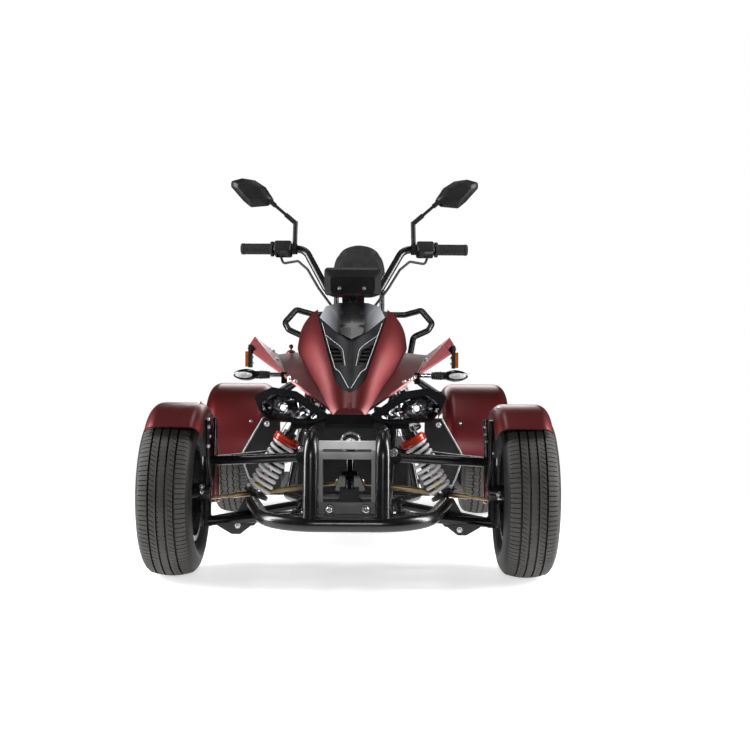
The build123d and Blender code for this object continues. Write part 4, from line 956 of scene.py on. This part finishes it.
for side_name, side in sides:
    side_frame = lamp_frame if side > 0 else flip_side @ lamp_frame
    bright = copy_of(reflector, side_frame)
    if side < 0:
        bright.data.flip_normals()
    settle(bright, f"lamp_reflector_{side_name}", reflector_chrome, "chassis")
    centre = side_frame @ (projector_at - Vector((0, 0, projector_back)))
    ahead = side_frame @ (projector_at + Vector((0, 0, 0.1)))
    dome = f"projector_dome_{side_name}"
    turned(dome, dome_profile, 32, centre, ahead, projector_glass, "chassis")
    ring = f"projector_ring_{side_name}"
    turned(ring, ring_profile, 36, centre, ahead, rod_chrome, "chassis")
bpy.data.objects.remove(reflector)

# Turn signals and side reflectors: black almond bodies on ribbed rubber boots and
# bright stems under the wings, with clear lenses, and amber blocks on brackets.
signal_white = paint(
    "signal_white", (0.62, 0.63, 0.64), (0.85, 0.86, 0.87), 0.16, grain=140, coat=0.6, spread=0.05,
)
amber = paint("amber", (0.55, 0.12, 0.01), (0.72, 0.2, 0.02), 0.2, grain=80, coat=0.5)
signal_tree = signal_white.node_tree
signal_split = add_node(signal_tree, "SeparateXYZ")
signal_side = add_node(signal_tree, "Math")
signal_side.operation = "ABSOLUTE"
signal_across = add_node(signal_tree, "MapRange", From_Min=0.304, From_Max=0.331)
signal_across.clamp = False
signal_rise = add_node(signal_tree, "MapRange", From_Min=0.564, From_Max=0.5735)
signal_rise.clamp = False
signal_spot = add_node(signal_tree, "CombineXYZ")
signal_reach = add_node(signal_tree, "VectorMath")
signal_reach.operation = "LENGTH"
signal_rim = add_ramp(signal_tree, ((0.86, (1, 1, 1)), (0.93, (0.006, 0.006, 0.006))))
signal_link = signal_tree.links.new
signal_link(signal_tree.nodes["Texture Coordinate"].outputs["Object"], signal_split.inputs["Vector"])
signal_link(signal_split.outputs["X"], signal_side.inputs[0])
signal_link(signal_side.outputs[0], signal_across.inputs["Value"])
signal_link(signal_split.outputs["Z"], signal_rise.inputs["Value"])
signal_link(signal_across.outputs["Result"], signal_spot.inputs["X"])
signal_link(signal_rise.outputs["Result"], signal_spot.inputs["Y"])
signal_link(signal_spot.outputs["Vector"], signal_reach.inputs[0])
signal_link(signal_reach.outputs["Value"], signal_rim.inputs["Fac"])
tint(signal_white, signal_rim)
dress(piano_black, "turn_signal_stalks")
dress(signal_white, "turn_signal_lenses")
dress(amber, "side_reflectors")
signal_y = front_axle.y + 0.046
signal_z = 0.564
boot_profile = [(0, 0.0062)]
boot_pitch = 0.006
for k in range(5):
    fold = k * boot_pitch
    fold_radius = 0.0105 + 0.0004 * k
    boot_profile += [(fold, fold_radius), (fold + 0.004, fold_radius), (fold + 0.005, 0.0085)]
boot_profile += [(0.031, 0.0115), (0.031, 0.0062)]
stem_profile = ((0, 0.0061), (0, 0.0068), (0.03, 0.0068), (0.03, 0.0061))
for side_name, side in sides:
    stem = Vector((side * 0.2, signal_y, signal_z))
    boot = Vector((side * 0.231, signal_y, signal_z))
    out = Vector((side * 0.1, 0, 0))
    turned(f"signal_stem_{side_name}", stem_profile, 20, stem, stem + out, rod_chrome, "chassis")
    turned(f"signal_boot_{side_name}", boot_profile, 24, boot, boot + out, rubber_black, "chassis")
bracket_spots = []
for side in (-1, 1):
    for height in (0.595, 0.613, 0.634):
        bracket_spots.append(((side * 0.298, front_axle.y + 0.19, height), (-side, -0.3, 0)))
set_copies(bolt_pattern, "reflector_bolts", bracket_spots, bolt_steel, "chassis", 0.8)

# Ignition lock: a red domed barrel beside the cowl, with a bright key in its top.
# The barrel takes the place of the plain CAD lock.
lock_low, lock_high = corners("ignition_lock")
lock_foot = Vector(((lock_low.x + lock_high.x) / 2, (lock_low.y + lock_high.y) / 2, lock_low.z))
lock_profile = (
    (0, 0.0004), (0, 0.0178), (0.05, 0.0178), (0.058, 0.0172), (0.066, 0.0148), (0.072, 0.0105),
    (0.0745, 0.0055), (0.075, 0.0004),
)
lock_up = lock_foot + Vector((0, 0, 0.1))
barrel = turned("lock_barrel", lock_profile, 36, lock_foot, lock_up, body_red, "chassis")
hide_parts("ignition_lock")
key_radius = 0.007
key_drop = 0.009
key_turn = 0.5
key = add_rod(20, key_radius, 0.0026, turn=(pi / 2, 0, 0))
pick_faces(key, lambda face: face.normal.z < -0.9)
bpy.ops.mesh.extrude_region_move(TRANSFORM_OT_translate={"value": (0, 0, -key_drop)})
ease_edges(0.0004)
key_at = Vector((lock_foot.x, lock_foot.y, lock_high.z - key_radius - 0.0002))
key.data.transform(Matrix.Translation(key_at) @ Matrix.Rotation(key_turn, 4, "Z"))
settle(key, "ignition_key", rod_chrome, "chassis")

# Handlebar controls: moulded switch housings, rubber grips with fine rings and end
# caps, mirrors on bent stems, rubber covered cables, and the display's back with two screws.
satin_black = paint(
    "satin_black", (0.008, 0.008, 0.0085), (0.014, 0.014, 0.015), 0.42, grain=24, peel=1800,
    bump=0.05, shine=0.25,
)
dress(moulded_black, "switch_housings")
dress(satin_black, "mirrors", "display")
dress(rubber_black, "grips", "control_cables")
mirror_silver = paint(
    "mirror_silver", (0.8, 0.81, 0.82), (0.86, 0.87, 0.88), 0.04, metallic=1.0, spread=0.02,
)
dress(mirror_silver, "mirror_glasses")
stem_rake = radians(32)
stem_at = Vector((0, front_axle.y + 0.01, 0.3))


def on_stem(across, back, up):
    """A point of the steering column's own frame, in the bike's."""
    along = back * cos(stem_rake) + up * sin(stem_rake)
    rise = up * cos(stem_rake) - back * sin(stem_rake)
    return stem_at + Vector((across, along, rise))


bar_end = on_stem(0.355, 0.025, 0.788)
bar_corner = on_stem(0.155, 0, 0.77)
bar_way = (bar_end - bar_corner).normalized()
grip_radius = 0.017
ring_count = 15
ring_gap = 0.0056
ring_foot = grip_radius - 0.0006
ring_top = grip_radius + 0.0007
ring_profile = ((-0.0012, ring_foot), (-0.0008, ring_top), (0.0008, ring_top), (0.0012, ring_foot))
cap_radius = grip_radius + 0.0012
cap_end = (
    (0.0, 0.0004), (0.0, grip_radius - 0.003), (-0.003, cap_radius), (-0.008, cap_radius),
    (-0.0095, grip_radius - 0.001), (-0.0095, 0.0004),
)
for side_name, side in sides:
    end = Vector((side * bar_end.x, bar_end.y, bar_end.z))
    way = Vector((side * bar_way.x, bar_way.y, bar_way.z))
    rings = [(end - way * (0.006 + ring_gap * k), way) for k in range(ring_count)]
    one_ring = spin_profile(ring_profile, 28, (0, 0, 0), (0, 0, 1))
    set_copies(one_ring, f"grip_rings_{side_name}", rings, rubber_black, "steering")
    bpy.data.objects.remove(one_ring)
    tip = end + way * 0.004
    turned(f"grip_end_{side_name}", cap_end, 32, tip, tip + way, rubber_black, "steering")
screw_spots = [photo_spot("display", right, 288.5) for right in (339, 363.5)]
set_copies(bolt_pattern, "display_screws", screw_spots, trim_grey, "steering", 0.7)

# Seat and backrest: foam pads under black coated fabric, blown up tight, with
# sewn seams across the seat and round the back's face.
upholstery = paint(
    "upholstery", (0.009, 0.009, 0.009), (0.017, 0.017, 0.0165), 0.55, grain=40, peel=1100,
    bump=0.35, shine=0.2, Sheen_Weight=0.1,
)
seam_width = 0.004
seam_falloff = 2.718
start_share = 0.8
blow_pressure = 4
blow_frames = 20


def pad_from(node_name, name, voxel, cap, seams, refine):
    """A copy of a CAD pad, remeshed and blown up as cloth, then pulled in along its seams."""
    bpy.ops.object.select_all(action="DESELECT")
    pad = bpy.data.objects.new(name, nodes[node_name].data.copy())
    bpy.context.collection.objects.link(pad)
    pad.select_set(True)
    bpy.context.view_layer.objects.active = pad
    low, high = corners(node_name)
    middle = (low + high) / 2
    shrink = [1 - 2 * cap * start_share / (high[k] - low[k]) for k in range(3)]
    smaller = Matrix.Translation(middle) @ Matrix.Diagonal((*shrink, 1)) @ Matrix.Translation(-middle)
    pad.data.transform(smaller)
    edit_all()
    bpy.ops.mesh.remove_doubles(threshold=0.00005)
    bpy.ops.object.mode_set(mode="OBJECT")
    grid = pad.modifiers.new("grid", "REMESH")
    grid.mode = "VOXEL"
    grid.voxel_size = voxel
    bpy.ops.object.modifier_apply(modifier="grid")
    start = [vertex.co.copy() for vertex in pad.data.vertices]
    cloth = pad.modifiers.new("blown", "CLOTH")
    cloth.settings.quality = 4
    cloth.settings.use_pressure = True
    cloth.settings.uniform_pressure_force = blow_pressure
    cloth.settings.effector_weights.gravity = 0
    for k in range(1, blow_frames + 1):
        bpy.context.scene.frame_set(k)
    bpy.ops.object.modifier_apply(modifier="blown")
    bpy.context.scene.frame_set(1)
    for vertex, rest in zip(pad.data.vertices, start):
        move = vertex.co - rest
        if move.length > cap:
            vertex.co = rest + move.normalized() * cap
    if refine:
        finer = pad.modifiers.new("finer", "SUBSURF")
        finer.levels = 1
        finer.render_levels = 1
        bpy.ops.object.modifier_apply(modifier="finer")
    for vertex in pad.data.vertices:
        pull = sum(
            depth * seam_falloff ** -((distance(vertex.co) / seam_width) ** 2) for distance, depth in seams
        )
        vertex.co = vertex.co - vertex.normal * pull
        for k in range(3):
            vertex.co[k] = min(max(vertex.co[k], low[k]), high[k])
    bpy.ops.object.shade_smooth()
    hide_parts(node_name)
    settle(pad, name, upholstery, "chassis")
    return pad


seat_side = 0.118
seat_top = 0.69
step_seam = front_axle.y + 0.88
front_seam = front_axle.y + 0.56
seat_seams = (
    # distance from the seam, depth that it pulls in
    (lambda place: abs(place.y - step_seam), 0.003),
    (lambda place: abs(place.y - front_seam), 0.002),
    (lambda place: abs(abs(place.x) - seat_side) if place.z > seat_top else 1, 0.003),
)
seat_pad = pad_from("seat", "seat_pad", 0.006, 0.008, seat_seams, False)
back_low, back_high = corners("backrest")
back_centre = Vector(((back_low.x + back_high.x) / 2, 0, back_low.z + 0.1))
back_seam = 0.085
back_face = back_low.y + 0.02


def round_back(place):
    """How far a point of the backrest's face is from the seam that runs round it."""
    if place.y > back_face:
        return 1
    if place.z > back_centre.z:
        return abs((Vector((place.x, 0, place.z)) - back_centre).length - back_seam)
    return abs(abs(place.x) - back_seam)


pad_from("backrest", "back_pad", 0.005, 0.007, ((round_back, 0.0022),), True)
stitch_thread = paint("stitch_thread", (0.02, 0.02, 0.02), (0.035, 0.035, 0.035), 0.6, grain=200)
stitch = add_rod(6, 0.0007, 0.0042, (0, 0, 0.0002), (pi / 2, 0, 0))
ease_edges(0.0003)
stitch_spots = []
bpy.context.view_layer.update()
seat_low, seat_high = corners("seat")
stitch_count = 110
stitch_inset = 0.007
stitch_margin = 0.03
stitch_run = seat_high.y - seat_low.y - 2 * stitch_margin
for side in (-1, 1):
    for k in range(stitch_count):
        along = seat_low.y + stitch_margin + stitch_run * k / (stitch_count - 1)
        met, place, _, _ = seat_pad.ray_cast((side * (seat_side - stitch_inset), along, 1.2), (0, 0, -1))
        if met:
            stitch_spots.append((place, (0, 0, 1)))
set_copies(stitch, "seat_stitches", stitch_spots, stitch_thread, "chassis")
bpy.data.objects.remove(stitch)

# Tail lamps: moulded red lenses under the tail cowl, with a gloss skin.
# They are fixed from inside, so no bolts show.
red_lens = paint("red_lens", (0.4, 0.005, 0.005), (0.55, 0.01, 0.01), 0.15, grain=60, coat=0.5)
dress(red_lens, "tail_lamps")
bpy.data.objects.remove(bolt_pattern)
